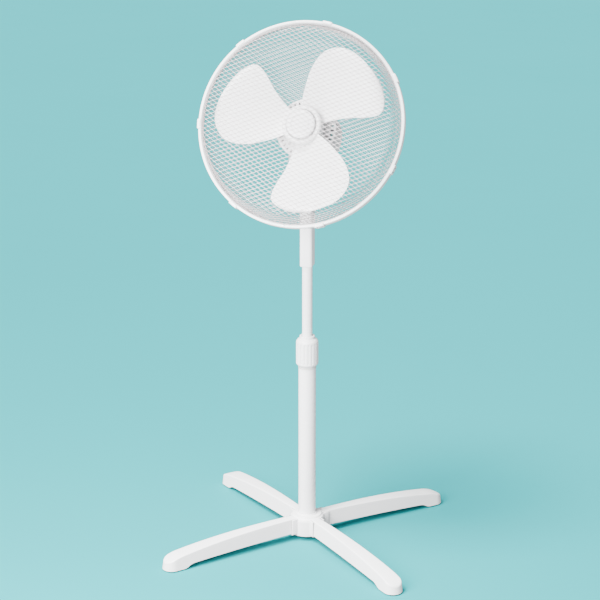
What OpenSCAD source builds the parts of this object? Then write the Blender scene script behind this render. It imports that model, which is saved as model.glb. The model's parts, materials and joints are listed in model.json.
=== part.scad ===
// Pedestal fan: cross base, telescopic stand, tilting and swinging head in a mesh guard.
// Millimetres, +Z up, the fan faces -Y, origin on the floor under the stand's axis.

/* [Base] */
// Distance from the stand's axis to the centre of each leg's round end
leg_reach = 335; // [260:1:400]
// Width of a leg at the hub
leg_root_w = 25; // [20:1:28]
// Width of a leg at its end
leg_tip_w = 44; // [32:1:52]
// Height of a leg's top at the hub
leg_root_top = 51; // [44:1:56]
// Height of a leg's underside at the hub
leg_root_bottom = 17; // [12:1:22]
// Wall of the leg shells
leg_wall = 2.6; // [2:0.1:4]
// Thickness of the rubber foot pads
pad_t = 2.5; // [2:0.5:4]
// Radius of the hub's drum
hub_r = 37; // [34:1:42]
// Radius of the hub's top flange
hub_top_r = 32; // [28:1:34]
// Height of the hub's top
hub_top = 54; // [52:1:66]
// Height of the hub's underside
hub_bottom = 7; // [5:1:10]

/* [Stand] */
// Outer diameter of the lower tube
outer_tube_d = 37.4; // [34:0.1:42]
// Wall of the lower tube
outer_tube_wall = 1.5; // [1:0.1:2]
// Height of the lower tube's upper end
outer_tube_top = 394; // [320:1:460]
// Outer diameter of the sliding tube
inner_tube_d = 22; // [19:0.5:25]
// Wall of the sliding tube
inner_tube_wall = 1.2; // [1:0.1:2]
// Length of the sliding tube that shows between the collar and the neck
tube_shown = 156; // [100:1:180]
// Largest radius of the height collar
collar_r = 24; // [23:0.5:28]
// Length of the height collar
collar_len = 67.5; // [64:0.5:90]
// Number of grip grooves round the height collar
collar_grooves = 18; // [12:1:24]

/* [Neck and controls] */
// Width of the neck sleeve
sleeve_w = 27; // [26:1:32]
// Depth of the neck sleeve
sleeve_d = 33; // [30:1:38]
// Length of the neck sleeve below the control housing
sleeve_len = 132; // [110:1:170]
// Width of the control housing
housing_w = 62; // [58:1:72]
// Depth of the control housing
housing_d = 50; // [46:1:60]
// Wall of the control housing
housing_wall = 3; // [2:0.5:4]
// Push button width
button_w = 10; // [8:0.5:10.5]
// Distance from one button's middle to the next
button_pitch = 12; // [11.5:0.5:14]
// How far a button goes in when it is pushed
button_travel = 3.5; // [2:0.5:4]

/* [Head] */
// Upward tilt of the head, in degrees
head_tilt = 23.5; // [0:0.5:28]
// Height of the motor's axis over the tilt bolt
axis_h = 80; // [80:1:90]
// Distance from the tilt bolt to the plane of the rim, along the motor's axis
rim_s = 97; // [95:1:102]
// Radius of the motor's covers
motor_r = 60; // [60:1:64]
// Radius of the motor's shaft
shaft_r = 4; // [3:0.5:5]

/* [Guard and blades] */
// Outer radius of the rim ring
rim_r = 215; // [205:1:235]
// Radial thickness of the rim ring
rim_t = 8.2; // [7:0.1:10]
// Width of the rim ring along the motor's axis
rim_w = 18; // [16:1:22]
// Depth of the front guard
front_depth = 42; // [38:1:60]
// Depth of the rear guard
rear_depth = 52.8; // [48:0.1:52.8]
// Thickness of the mesh sheets
mesh_t = 0.8; // [0.6:0.1:1.2]
// Number of clips round the rim
clip_count = 7; // [5:1:9]
// Radius of the blades' tips
blade_r = 181; // [150:1:190]
// Thickness of a blade
blade_t = 2.2; // [1.6:0.1:3]
// Number of blades
blade_count = 3; // [3:1:4]
// Radius of the blades' hub
blade_hub_r = 41; // [36:1:46]
// Radius of the nut that holds the blades
blade_nut_r = 30.5; // [24:0.5:34]

/* [Clearances] */
// Radial clearance of a shaft or pin that turns in a bore
run_fit = 0.06; // [0.02:0.01:0.1]
// Radial clearance of the sliding tube in its guide bush
slide_fit = 0.08; // [0.03:0.01:0.1]
// Radial clearance between pieces that are fixed together
seat_fit = 0.05; // [0.02:0.01:0.1]
// Gap between moving pieces that don't bear on each other
free_gap = 0.5; // [0.3:0.1:1]

/* [Hidden] */
$fn = 64;
big = 1000;

// Colours
white = [0.93, 0.93, 0.93];
pale = [0.88, 0.88, 0.88];
mesh_white = [0.86, 0.85, 0.85];
steel = [0.62, 0.63, 0.65];
dark = [0.18, 0.18, 0.19];
copper = [0.72, 0.45, 0.25];
brass = [0.80, 0.68, 0.38];

// Base
leg_angles = [225, 315, 135, 45];
leg_start = 33;
leg_end = leg_reach + leg_tip_w / 2;
foot_len = 40;
foot_start = leg_end - foot_len;
leg_span = leg_end - leg_start;
socket_wall = 2.6;
socket_start = 30;
socket_end = 47;
socket_half_w = leg_root_w / 2 + seat_fit + socket_wall;
socket_low = leg_root_bottom - seat_fit - socket_wall;
socket_high = leg_root_top - 1;
pad_inset = 4;
leg_screw_r = 2;
leg_screw_at = 41;
base_nut_r = 24;
base_nut_t = 8;

// Stand
outer_r = outer_tube_d / 2;
outer_bore = outer_r - outer_tube_wall;
outer_tube_bottom = hub_bottom + 7;
inner_r = inner_tube_d / 2;
bush_cap_t = 2;
bush_cap_h = 2.5;
bush_cap_r = outer_r + 0.6;
bush_insert = 52;
bush_nose_r = inner_r + 3.6;
bush_top = outer_tube_top + bush_cap_t + collar_len - 13;
collar_bottom = outer_tube_top + bush_cap_t + free_gap;
collar_top = collar_bottom + collar_len;
neck_bottom = collar_top + tube_shown;
inner_tube_top = neck_bottom + sleeve_len - 10;
inner_tube_bottom = outer_tube_bottom + tube_shown + 18;
plug_len = 18;

// Neck and controls
sleeve_top = neck_bottom + sleeve_len;
housing_bottom = sleeve_top + 8;
housing_top = housing_bottom + 46;
sleeve_corner = 6;
housing_corner = 9;
back_split = 17;
cover_gap = 0.1;
cavity_low = housing_bottom + 1;
cavity_high = housing_top - housing_wall - 1;
button_z = housing_bottom + 23;
button_h = 14;
button_out = 5;
button_cap = 11;
stem_len = 10;
button_gap = 0.35;
housing_front = -housing_d / 2;
gland_z = housing_bottom + 9;
gland_bore = 3.5;
cover_screw_x = housing_w / 2 - 6.5;
neck_screw_z = neck_bottom + 78;

// Tilt joint
pivot_z = housing_top + 18;
cup_low = 12;
lug_r = cup_low - 0.5;
lug_half_w = 9;
ear_gap = 0.4;
ear_t = 7.5;
ear_out = lug_half_w + ear_gap + ear_t;
tilt_bolt_r = 4;
knob_len = 18;
knob_r = cup_low - 0.8;

// Swivel and swing drive, heights over the tilt bolt
cup_r = 41;
cup_high = cup_low + 5;
post_r = 5;
post_top = 44;
post_groove = 35;
post_screw_z = 36.5;
post_screw_r = 1.5;
arm_low = cup_high + 3;
arm_high = arm_low + 3;
swing_angle = 40;
crank_back = 15;
crank_throw = crank_back * tan(swing_angle);
crank_pin_r = 2;
slot_gap = 0.6;
crank_low = arm_high + 1;
crank_high = crank_low + 3.2;
boss_low = crank_high + 0.6;
boss_r = 11;
floor_low = 42;
floor_high = 45;
crank_shaft_r = 3;

// Gear box
box_front = -8;
box_back = -46;
box_left = -15;
box_right = 33;
box_wall = 2.5;
box_top = axis_h + 20;
screw_at = 30;
motor_screw_r = 1.8;
arm_bars = [floor_high + 9.2, axis_h + screw_at - 4];
lid_t = 2.5;
worm_r = 6.3;
worm_s = -27;
worm_len = 16;
wheel_r = 11.6;
wheel_t = 8;
spindle_x = worm_r + wheel_r + 0.3;
spindle_r = 2;
spindle_top = axis_h + wheel_t / 2 + 0.8;
knob_travel = 5;
gear_low = floor_high + 2;
gear_t = 5;
spindle_spacing = norm([spindle_x, worm_s + crank_back]);
crank_gear_r = 16;
pinion_r = spindle_spacing - crank_gear_r - 0.3;

// Motor, distances along its axis
front_plate_s = 42;
front_plate_t = 3;
stator_s = 10;
stator_t = 24;
stator_w = 69.6;
stator_bore = 22;
rotor_r = stator_bore - 0.5;
winding_t = 6;
cover_wall = 2.5;
dome_s = -20;
dome_len = 62;
dome_power = 2.6;
skirt_low = cup_high + 2;
skirt_r = cup_r - 2;
skirt_t = 2.5;
boss_front_r = 17;
boss_front_s = 57;
bearing_r = 9;

// Guards, distances along the axis are given from the tilt bolt
plate_s = front_plate_s + front_plate_t;
plate_t = 2.5;
plate_r = motor_r + 3;
guard_slots = 36;
rear_face_s = rim_s - rear_depth;
front_face_s = rim_s + front_depth;
edge_r = rim_r - rim_t + 2;
rim_in = rim_r - rim_t;
groove_gap = 0.5;
face_r = rim_r - 19;
rear_flat_r = rim_r - 50;
dome_rise = 2;
lock_nut_r = 29;
clip_phase = 28.7;
clip_w = 20;
clip_out = 2.1;
clip_hook = 4.2;
clip_hook_t = 1.4;
rim_slope_w = 2.6;
rim_land = 0.4;
rim_screw_r = 1.2;
rim_screw_head_r = 1.9;
rim_screw_len = 5;
rim_screw_turn = 4;

// Blades
hub_back_s = 62;
hub_front_s = 98;
blade_mid_s = 81;
drive_pin_s = 76;
drive_pin_r = 1.5;
drive_pin_len = 15;
blade_phase = 5;
blade_rake = 16;
blade_rise_root = 17.5;
blade_rise_tip = 7.2;
blade_camber = 2.3;
nut_front_s = rim_s + 11;
shaft_front_s = hub_front_s + 4;
shaft_back_s = box_back + box_wall + 1.5;
// Blade outline: share of the tip radius, angle of the leading edge, angle of the trailing edge
outline = [
    [0.214, 7, 89.5], [0.300, 7.6, 87.4], [0.410, 8.3, 84.4], [0.545, 7.5, 81.4], [0.680, 5.6, 78.1],
    [0.790, 5.0, 74.4], [0.870, 5.6, 70.6], [0.925, 8, 66.2], [0.962, 13, 61.6], [0.987, 19.5, 56.5],
    [1, 28, 49]
];
chord_steps = 10;

// ---------- helpers ----------

// Places children in the tilted head: x to the right, -y forward, z up from the tilt bolt
module in_head() {
    translate([0, 0, pivot_z]) rotate([-head_tilt, 0, 0]) children();
}

// Places children on the motor's axis at distance s, with z forward
module on_axis(s) {
    in_head() translate([0, -s, axis_h]) rotate([90, 0, 0]) children();
}

// Places children on the swing drive's axis, which is parallel to the swivel post
module on_post(x, s, z) {
    in_head() translate([x, -s, z]) children();
}

module ring(r_out, r_in, h) {
    difference() {
        cylinder(r = r_out, h = h);
        translate([0, 0, -1]) cylinder(r = r_in, h = h + 2);
    }
}

module rounded_box(w, d, h, r) {
    hull() for (x = [-1, 1], y = [-1, 1])
        translate([x * (w / 2 - r), y * (d / 2 - r), 0]) cylinder(r = r, h = h, $fn = 32);
}

module rounded_bar(w, d, h, r) {
    translate([-w / 2 + r, -d / 2, 0]) cube([w - 2 * r, d, h]);
    translate([-w / 2, -d / 2 + r, 0]) cube([w, d - 2 * r, h]);
    for (x = [-1, 1], y = [-1, 1])
        translate([x * (w / 2 - r), y * (d / 2 - r), 0]) cylinder(r = r, h = h);
}

// ---------- base ----------

// Top and underside of a leg at a share t of its length from the hub
function leg_top(t) = leg_root_top - 24 * pow(t, 2.4);
function leg_low(t) = leg_root_bottom - 7 * pow(t, 2);

module leg_side(inset) {
    steps = 12;
    nose = 8;
    t_end = 1 - nose / leg_span;
    polygon(concat(
        [for (i = [0:steps]) let (t = i / steps * t_end)
            [leg_start + t * leg_span, leg_top(t) - inset]],
        [[leg_end - 1 - inset, leg_top(t_end) - 7 - inset], [leg_end - inset, pad_t + 6]],
        inset > 0 ? [[leg_end - inset, -1]]
            : [[leg_end, pad_t], [foot_start, pad_t], [foot_start - 2, leg_low(0.86)]],
        inset > 0 ? [[leg_start, -1]]
            : [for (i = [steps - 2:-1:0]) let (t = i / steps * t_end)
                [leg_start + t * leg_span, leg_low(t)]]
    ));
}

module leg_plan(inset) {
    w0 = leg_root_w / 2 - inset;
    w1 = leg_tip_w / 2 - inset;
    polygon([[leg_start, -w0], [socket_end + 2, -w0], [leg_reach, -w1],
        [leg_reach, w1], [socket_end + 2, w0], [leg_start, w0]]);
    translate([leg_reach, 0]) circle(r = w1);
}

module leg_solid(inset) {
    intersection() {
        rotate([90, 0, 0]) linear_extrude(height = 100, center = true) leg_side(inset);
        translate([0, 0, -50]) linear_extrude(height = 200) leg_plan(inset);
    }
}

module leg(angle) {
    rib_t = 2;
    color(white) rotate([0, 0, angle]) {
        difference() {
            leg_solid(0);
            difference() {
                leg_solid(leg_wall);
                // the part inside the socket stays solid, to take its screw
                translate([0, -50, -50]) cube([socket_end + 1, 100, 200]);
                // cross ribs and the foot's closed floor
                for (x = [110:60:leg_reach - 60]) translate([x, -50, -50]) cube([rib_t, 100, 200]);
                translate([foot_start - 2, -50, -1]) cube([big, 100, pad_t + leg_wall + 1]);
                translate([foot_start - 2, -50, -50]) cube([leg_wall, 100, 200]);
            }
            translate([leg_screw_at, 0, 0]) cylinder(r = leg_screw_r + seat_fit, h = leg_root_bottom + 16);
        }
    }
}

module base_hub() {
    color(white) difference() {
        union() {
            rotate_extrude() polygon([[0, hub_bottom], [hub_r, hub_bottom], [hub_r, hub_top - 9],
                [hub_r - 1.5, hub_top - 5], [hub_top_r, hub_top - 2.5], [hub_top_r - 1, hub_top],
                [outer_r + 3, hub_top], [outer_r + 2.6, hub_top + 3], [0, hub_top + 3]]);
            for (a = leg_angles) rotate([0, 0, a])
                translate([socket_start, -socket_half_w, socket_low])
                    cube([socket_end - socket_start, 2 * socket_half_w, socket_high - socket_low]);
        }
        // socket pockets for the legs
        for (a = leg_angles) rotate([0, 0, a]) {
            translate([leg_start - seat_fit, -leg_root_w / 2 - seat_fit, leg_root_bottom - seat_fit - 0.5])
                cube([100, leg_root_w + 2 * seat_fit, 100]);
            translate([leg_screw_at, 0, 0]) cylinder(r = leg_screw_r + seat_fit, h = leg_root_bottom);
        }
        // tube seat, hollow underside and clearance for the base nut
        translate([0, 0, outer_tube_bottom]) cylinder(r = outer_r + seat_fit, h = 100);
        translate([0, 0, hub_bottom - 1]) cylinder(r = base_nut_r + 1, h = 5);
        translate([0, 0, hub_bottom - 1]) cylinder(r = outer_bore - 3, h = 20);
    }
}

module foot_pads() {
    color(dark) for (a = leg_angles) rotate([0, 0, a])
        linear_extrude(height = pad_t) intersection() {
            leg_plan(pad_inset);
            translate([foot_start + pad_inset, -50]) square([100, 100]);
        }
}

module leg_screws() {
    head_t = 2;
    color(steel) for (a = leg_angles) rotate([0, 0, a])
        translate([leg_screw_at, 0, socket_low - head_t]) {
            cylinder(r = 3.8, h = head_t);
            cylinder(r = leg_screw_r, h = 20);
        }
}

// Flanged nut under the hub, with a plug that expands in the lower tube
module base_nut() {
    color(pale) difference() {
        union() {
            translate([0, 0, hub_bottom - 1]) cylinder(r = base_nut_r, h = 4.8);
            translate([0, 0, hub_bottom + 3]) cylinder(r = outer_bore - 3.4, h = base_nut_t + 4);
        }
        translate([0, 0, hub_bottom - 2]) cylinder(r = 5, h = 40);
        for (a = [0:60:300]) rotate([0, 0, a])
            translate([base_nut_r - 5, -2, hub_bottom - 2]) cube([10, 4, 3.5]);
    }
}

// ---------- stand ----------

module outer_tube() {
    color(white) translate([0, 0, outer_tube_bottom])
        ring(outer_r, outer_bore, outer_tube_top - outer_tube_bottom);
}

// Plastic bush in the tube's mouth: cap, insert, and split nose that the collar squeezes
module guide_bush() {
    slit = 2;
    bore = inner_r + slide_fit;
    color(pale) difference() {
        union() {
            translate([0, 0, outer_tube_top - bush_insert])
                cylinder(r = outer_bore - seat_fit, h = bush_insert + 1);
            translate([0, 0, outer_tube_top]) cylinder(r = bush_cap_r, h = bush_cap_t);
            translate([0, 0, outer_tube_top - bush_cap_h])
                ring(bush_cap_r, outer_r + seat_fit, bush_cap_h + 0.5);
            translate([0, 0, outer_tube_top]) cylinder(r = bush_nose_r, h = bush_top - outer_tube_top);
        }
        translate([0, 0, outer_tube_top - bush_insert - 1]) cylinder(r = bore, h = 200);
        for (a = [0, 90]) rotate([0, 0, a])
            translate([-50, -slit / 2, outer_tube_top + bush_cap_t + 12]) cube([100, slit, 100]);
    }
}

module height_collar() {
    bore = bush_nose_r + free_gap;
    mouth = inner_r + free_gap;
    groove_r = 1.4;
    groove_start = 8.5;
    groove_margin = 25;
    color(white) difference() {
        translate([0, 0, collar_bottom]) rotate_extrude() polygon([
            [bore, 0], [bush_cap_r + 0.4, 0], [bush_cap_r + 0.9, 0.8], [collar_r - 0.9, 3.6], [collar_r, 6],
            [collar_r, collar_len - 14.5], [collar_r - 0.7, collar_len - 11.5],
            [collar_r - 2.8, collar_len - 8.6], [collar_r - 6, collar_len - 6.4],
            [collar_r - 7.5, collar_len - 5.4], [collar_r - 7.7, collar_len - 0.9],
            [collar_r - 8.4, collar_len], [mouth, collar_len], [mouth, collar_len - 8],
            [bore, collar_len - 11]]);
        for (i = [0:collar_grooves - 1]) rotate([0, 0, (i + 0.5) * 360 / collar_grooves])
            translate([collar_r + 0.2, 0, collar_bottom + groove_start]) {
                cylinder(r = groove_r, h = collar_len - groove_margin);
                sphere(r = groove_r);
                translate([0, 0, collar_len - groove_margin]) sphere(r = groove_r);
            }
    }
}

module inner_tube() {
    color(white) translate([0, 0, inner_tube_bottom])
        ring(inner_r, inner_r - inner_tube_wall, inner_tube_top - inner_tube_bottom);
}

module guide_plug() {
    color(pale) translate([0, 0, inner_tube_bottom]) {
        translate([0, 0, -3]) ring(outer_bore - 0.3, inner_r - 5, 3);
        ring(outer_bore - 0.3, inner_r + seat_fit, plug_len);
        ring(inner_r - inner_tube_wall - seat_fit, inner_r - 5, plug_len - 4);
    }
}

// ---------- neck and controls ----------

module housing_shape() {
    translate([0, 0, neck_bottom]) rounded_bar(sleeve_w, sleeve_d, sleeve_len + 1, sleeve_corner);
    hull() {
        translate([0, 0, sleeve_top - 6]) rounded_box(sleeve_w, sleeve_d, 1, sleeve_corner);
        translate([0, 0, housing_bottom]) rounded_box(housing_w - 6, housing_d - 6, 1, housing_corner);
        translate([0, 0, housing_bottom + 8]) rounded_box(housing_w, housing_d, 1, housing_corner);
    }
    hull() {
        translate([0, 0, housing_bottom + 8]) rounded_box(housing_w, housing_d, 26, housing_corner);
        translate([0, 0, housing_top - 1]) rounded_box(housing_w - 8, housing_d - 8, 1, housing_corner);
    }
}

module housing_cavity() {
    w = housing_w / 2 - housing_wall - 3.5;
    translate([-w, housing_front + housing_wall + 1, cavity_low])
        cube([2 * w, housing_d - 2 * housing_wall - 2, cavity_high - cavity_low]);
}

module back_half(gap) {
    translate([-50, back_split + gap, cavity_low - 4]) cube([100, 100, housing_top - cavity_low + 10]);
}

module cover_screw_places() {
    for (x = [-1, 1], z = [cavity_low + 5, cavity_high - 4])
        translate([x * (cover_screw_x - 1), housing_d / 2 - 4, z]) rotate([90, 0, 0]) children();
}

module control_housing() {
    tube_bore = inner_r + seat_fit;
    color(white) difference() {
        union() {
            difference() {
                housing_shape();
                housing_cavity();
                back_half(0);
            }
            // ears that hold the tilt bolt
            for (side = [-1, 1]) {
                x = side > 0 ? lug_half_w + ear_gap : -ear_out;
                translate([x, -10, housing_top - 3]) cube([ear_t, 20, pivot_z - housing_top + 3]);
                translate([x, 0, pivot_z]) rotate([0, 90, 0]) cylinder(r = 11, h = ear_t);
            }
        }
        translate([0, 0, neck_bottom - 1]) cylinder(r = tube_bore, h = inner_tube_top - neck_bottom + 1);
        // wire way from the tube into the housing
        translate([0, 0, inner_tube_top - 1]) cylinder(r = inner_r - 3, h = 40);
        translate([-50, 0, pivot_z]) rotate([0, 90, 0]) cylinder(r = tilt_bolt_r + seat_fit, h = 100);
        for (i = [0:3]) translate([(i - 1.5) * button_pitch, 0, button_z])
            translate([-button_w / 2 - button_gap, housing_front - 5, -button_h / 2 - button_gap])
                cube([button_w + 2 * button_gap, 15, button_h + 2 * button_gap]);
        cover_screw_places() cylinder(r = 1.2 + seat_fit, h = 14);
        translate([0, sleeve_d / 2 + 1, neck_screw_z]) rotate([90, 0, 0])
            cylinder(r = 2 + seat_fit, h = sleeve_d / 2);
    }
}

module housing_back() {
    color(white) difference() {
        intersection() {
            housing_shape();
            back_half(cover_gap);
        }
        housing_cavity();
        translate([0, 60, gland_z]) rotate([90, 0, 0]) cylinder(r = 5 + seat_fit, h = 60);
        cover_screw_places() {
            translate([0, 0, -20]) cylinder(r = 2.6, h = 20.5);
            cylinder(r = 1.2 + seat_fit, h = 14);
        }
        for (z = [0:5:15]) translate([-10, back_split, gland_z + 12 + z]) cube([20, 20, 2]);
    }
}

module housing_screws() {
    color(steel) cover_screw_places() {
        translate([0, 0, -1.4]) cylinder(r = 2.4, h = 1.8);
        cylinder(r = 1.2, h = 11);
    }
}

// Thumb screw at the back of the sleeve, bearing on the sliding tube
module neck_screw() {
    head_r = 6;
    color(white) translate([0, inner_r, neck_screw_z]) rotate([-90, 0, 0]) {
        cylinder(r = 2, h = sleeve_d / 2 - inner_r + 1);
        translate([0, 0, sleeve_d / 2 - inner_r + 0.2]) difference() {
            cylinder(r = head_r, h = 8);
            for (a = [0:45:315]) rotate([0, 0, a]) translate([head_r + 0.4, 0, 1])
                cylinder(r = 1.3, h = 8);
        }
    }
}

module switch_block() {
    w = 4 * button_pitch - 3;
    color(pale) translate([-w / 2, housing_front + button_cap + stem_len + button_travel - 3.5,
        button_z - 9]) cube([w, 13, 18]);
}

module cord_gland() {
    color(dark) translate([0, housing_d / 2 + 6, gland_z]) rotate([90, 0, 0]) difference() {
        union() {
            cylinder(r = 5, h = 14);
            translate([0, 0, 2]) cylinder(r = 6.5, h = 2.5);
            translate([0, 0, 11]) cylinder(r = 6.5, h = 2);
        }
        translate([0, 0, -1]) cylinder(r = gland_bore, h = 20);
    }
}

module button(i) {
    y = housing_front - button_out;
    color(i == 0 ? [0.80, 0.80, 0.81] : white) translate([(i - 1.5) * button_pitch, 0, button_z]) {
        translate([-button_w / 2, y + 1.5, -button_h / 2]) cube([button_w, button_cap - 1.5, button_h]);
        translate([-button_w / 2 + 0.8, y, -button_h / 2 + 0.8])
            cube([button_w - 1.6, 2, button_h - 1.6]);
        translate([-2, y + button_cap - 1, -4]) cube([4, stem_len + 1, 8]);
    }
}

module button_off() { button(0); }
module button_low() { button(1); }
module button_medium() { button(2); }
module button_high() { button(3); }

// ---------- tilt joint ----------

module tilt_bolt() {
    color(steel) translate([-ear_out - 1, 0, pivot_z]) rotate([0, 90, 0])
        cylinder(r = tilt_bolt_r, h = 2 * ear_out + 1 + knob_len - 4);
}

module tilt_nut() {
    color(steel) translate([-ear_out - 5, 0, pivot_z]) rotate([0, 90, 0]) difference() {
        cylinder(r = 8, h = 5, $fn = 6);
        translate([0, 0, 3]) cylinder(r = tilt_bolt_r + seat_fit, h = 6);
    }
}

module tilt_knob() {
    lobes = 8;
    color(white) translate([ear_out + free_gap, 0, pivot_z]) rotate([0, 90, 0]) difference() {
        union() {
            cylinder(r = knob_r - 4, h = 6);
            translate([0, 0, 4]) cylinder(r = knob_r, h = knob_len - 5);
            translate([0, 0, knob_len - 1]) cylinder(r = knob_r - 1.5, h = 1);
        }
        for (i = [0:lobes - 1]) rotate([0, 0, i * 360 / lobes])
            translate([knob_r + 2, 0, 5]) cylinder(r = 4, h = knob_len);
        translate([0, 0, -1]) cylinder(r = tilt_bolt_r + run_fit, h = knob_len - 3);
    }
}

module tilt_bracket() {
    color(white) in_head() difference() {
        union() {
            translate([-lug_half_w, 0, 0]) rotate([0, 90, 0]) cylinder(r = lug_r, h = 2 * lug_half_w);
            translate([-lug_half_w, -lug_r, 0]) cube([2 * lug_half_w, 2 * lug_r, cup_low + 1]);
            translate([0, 0, cup_low]) cylinder(r = cup_r, h = cup_high - cup_low - 1);
            translate([0, 0, cup_low]) cylinder(r = cup_r - 1, h = cup_high - cup_low);
            translate([0, 0, cup_high - 1]) cylinder(r = 10, h = arm_low - cup_high + 1);
        }
        translate([-50, 0, 0]) rotate([0, 90, 0]) cylinder(r = tilt_bolt_r + run_fit, h = 100);
        translate([0, 0, cup_low - 4]) cylinder(r = post_r + seat_fit, h = 30);
    }
}

module swivel_post() {
    color(steel) in_head() difference() {
        translate([0, 0, cup_low - 4]) cylinder(r = post_r, h = post_top - cup_low + 4);
        translate([0, 0, post_groove]) difference() {
            cylinder(r = post_r + 1, h = 3);
            cylinder(r = post_r - 1, h = 3);
        }
    }
}

// Arm fixed on the post, with the slot that the crank's pin runs in
module swing_arm() {
    near = norm([crank_back, crank_throw]) - crank_pin_r - 1;
    far = crank_back + crank_throw + crank_pin_r + 1;
    half = crank_pin_r + slot_gap;
    color(steel) in_head() translate([0, 0, arm_low]) difference() {
        union() {
            cylinder(r = 9, h = arm_high - arm_low);
            translate([-half - 3, 0, 0]) cube([2 * half + 6, far + 3, arm_high - arm_low]);
        }
        translate([0, 0, -1]) cylinder(r = post_r + seat_fit, h = 10);
        translate([-half, near, -1]) cube([2 * half, far - near, 10]);
    }
}

// ---------- swing drive ----------

module gear_housing() {
    color(pale) in_head() difference() {
        union() {
            translate([box_left, -box_front, floor_low])
                cube([box_right - box_left, box_front - box_back, box_top - lid_t - floor_low]);
            translate([0, 0, boss_low]) cylinder(r = boss_r, h = floor_high - boss_low);
            translate([-boss_r, -3, floor_low]) cube([2 * boss_r, 12, floor_high - floor_low]);
            // arms out to the motor screws
            for (x = [-1, 1], z = [-1, 1])
                translate([x * screw_at, -box_front, axis_h + z * screw_at]) rotate([-90, 0, 0])
                    cylinder(r = 5, h = 6);
            for (z = [0, 1])
                translate([-screw_at - 4, -box_front, arm_bars[z]]) cube([2 * screw_at + 8, 5, 8]);
            for (x = [-1, 1])
                translate([x * screw_at - 4, -box_front, axis_h - screw_at]) cube([8, 5, 8]);
            translate([-14, -box_front, axis_h - screw_at]) cube([28, 5, 2 * screw_at]);
        }
        // room for the wheels
        translate([box_left + box_wall, -box_front + 5.5, floor_high])
            cube([box_right - box_left - 2 * box_wall, box_front - box_back - 5.5 - box_wall, 200]);
        // swivel bore, shaft bore, spindle and crank bores
        translate([0, 0, boss_low - 1]) cylinder(r = post_r + run_fit, h = post_top - boss_low + 1.2);
        translate([0, 0, axis_h]) rotate([-90, 0, 0]) cylinder(r = bearing_r, h = 20);
        translate([0, crank_back, 20]) cylinder(r = crank_shaft_r + run_fit, h = 40);
        translate([0, crank_back, floor_high]) cylinder(r = crank_gear_r + 1, h = gear_t + 4);
        translate([spindle_x, -worm_s, 20]) cylinder(r = spindle_r + run_fit, h = 40);
        for (x = [-1, 1], z = [-1, 1])
            translate([x * screw_at, -box_front - 1, axis_h + z * screw_at]) rotate([-90, 0, 0])
                cylinder(r = motor_screw_r + seat_fit, h = 30);
        translate([0, -20, post_screw_z]) rotate([-90, 0, 0]) cylinder(r = post_screw_r + seat_fit, h = 20);
    }
}

module gear_lid() {
    color(pale) in_head() difference() {
        translate([box_left, -box_front + 5.5, box_top - lid_t])
            cube([box_right - box_left, box_front - box_back - 5.5, lid_t]);
        translate([spindle_x, -worm_s, 50]) cylinder(r = spindle_r + 1 + run_fit, h = 100);
    }
}

module post_screw() {
    color(steel) in_head() translate([0, -post_r + 0.4, post_screw_z]) rotate([90, 0, 0])
        cylinder(r = post_screw_r, h = 8);
}

module crank_arm() {
    color(steel) in_head() {
        translate([0, crank_back, crank_low]) cylinder(r = 5, h = crank_high - crank_low);
        translate([-4, crank_back, crank_low]) cube([8, crank_throw, crank_high - crank_low]);
        translate([0, crank_back + crank_throw, crank_low]) cylinder(r = 4, h = crank_high - crank_low);
        translate([0, crank_back + crank_throw, arm_low - 1])
            cylinder(r = crank_pin_r, h = crank_low - arm_low + 2);
        translate([0, crank_back, crank_low])
            cylinder(r = crank_shaft_r, h = gear_low + gear_t - crank_low);
    }
}

module gear_blank(r, h, teeth) {
    tooth_d = 1.1;
    difference() {
        cylinder(r = r, h = h);
        for (i = [0:teeth - 1]) rotate([0, 0, i * 360 / teeth])
            translate([r - tooth_d, -0.45, -1]) cube([5, 0.9, h + 2]);
    }
}

module crank_gear() {
    color(brass) in_head() translate([0, crank_back, gear_low]) difference() {
        gear_blank(crank_gear_r, gear_t, 40);
        translate([0, 0, -1]) cylinder(r = crank_shaft_r + seat_fit, h = 10);
    }
}

module clutch_spindle() {
    color(steel) in_head() translate([spindle_x, -worm_s, 0]) {
        translate([0, 0, floor_low + 0.5]) cylinder(r = spindle_r, h = spindle_top - floor_low - 0.5);
        translate([0, 0, gear_low]) gear_blank(pinion_r, gear_t, 10);
    }
}

module worm_wheel() {
    color(pale) in_head() translate([spindle_x, -worm_s, axis_h - wheel_t / 2]) difference() {
        gear_blank(wheel_r, wheel_t, 28);
        translate([0, 0, -1]) cylinder(r = spindle_r + run_fit, h = 20);
    }
}

module oscillation_knob() {
    cover_top = axis_h + sqrt(motor_r * motor_r - spindle_x * spindle_x);
    foot = spindle_top + knob_travel + free_gap;
    color(white) in_head() translate([spindle_x, -worm_s, 0]) {
        translate([0, 0, foot]) cylinder(r = spindle_r + 1, h = cover_top - foot + 12);
        translate([0, 0, cover_top + 9]) difference() {
            cylinder(r = 7, h = 12);
            translate([0, 0, 9]) ring(20, 5.6, 1.2);
        }
        translate([0, 0, cover_top + 21]) cylinder(r = 6, h = 1.2);
    }
}

// ---------- motor ----------

module motor_screw_places() {
    for (x = [-1, 1], y = [-1, 1]) translate([x * screw_at, y * screw_at, 0]) children();
}

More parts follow.
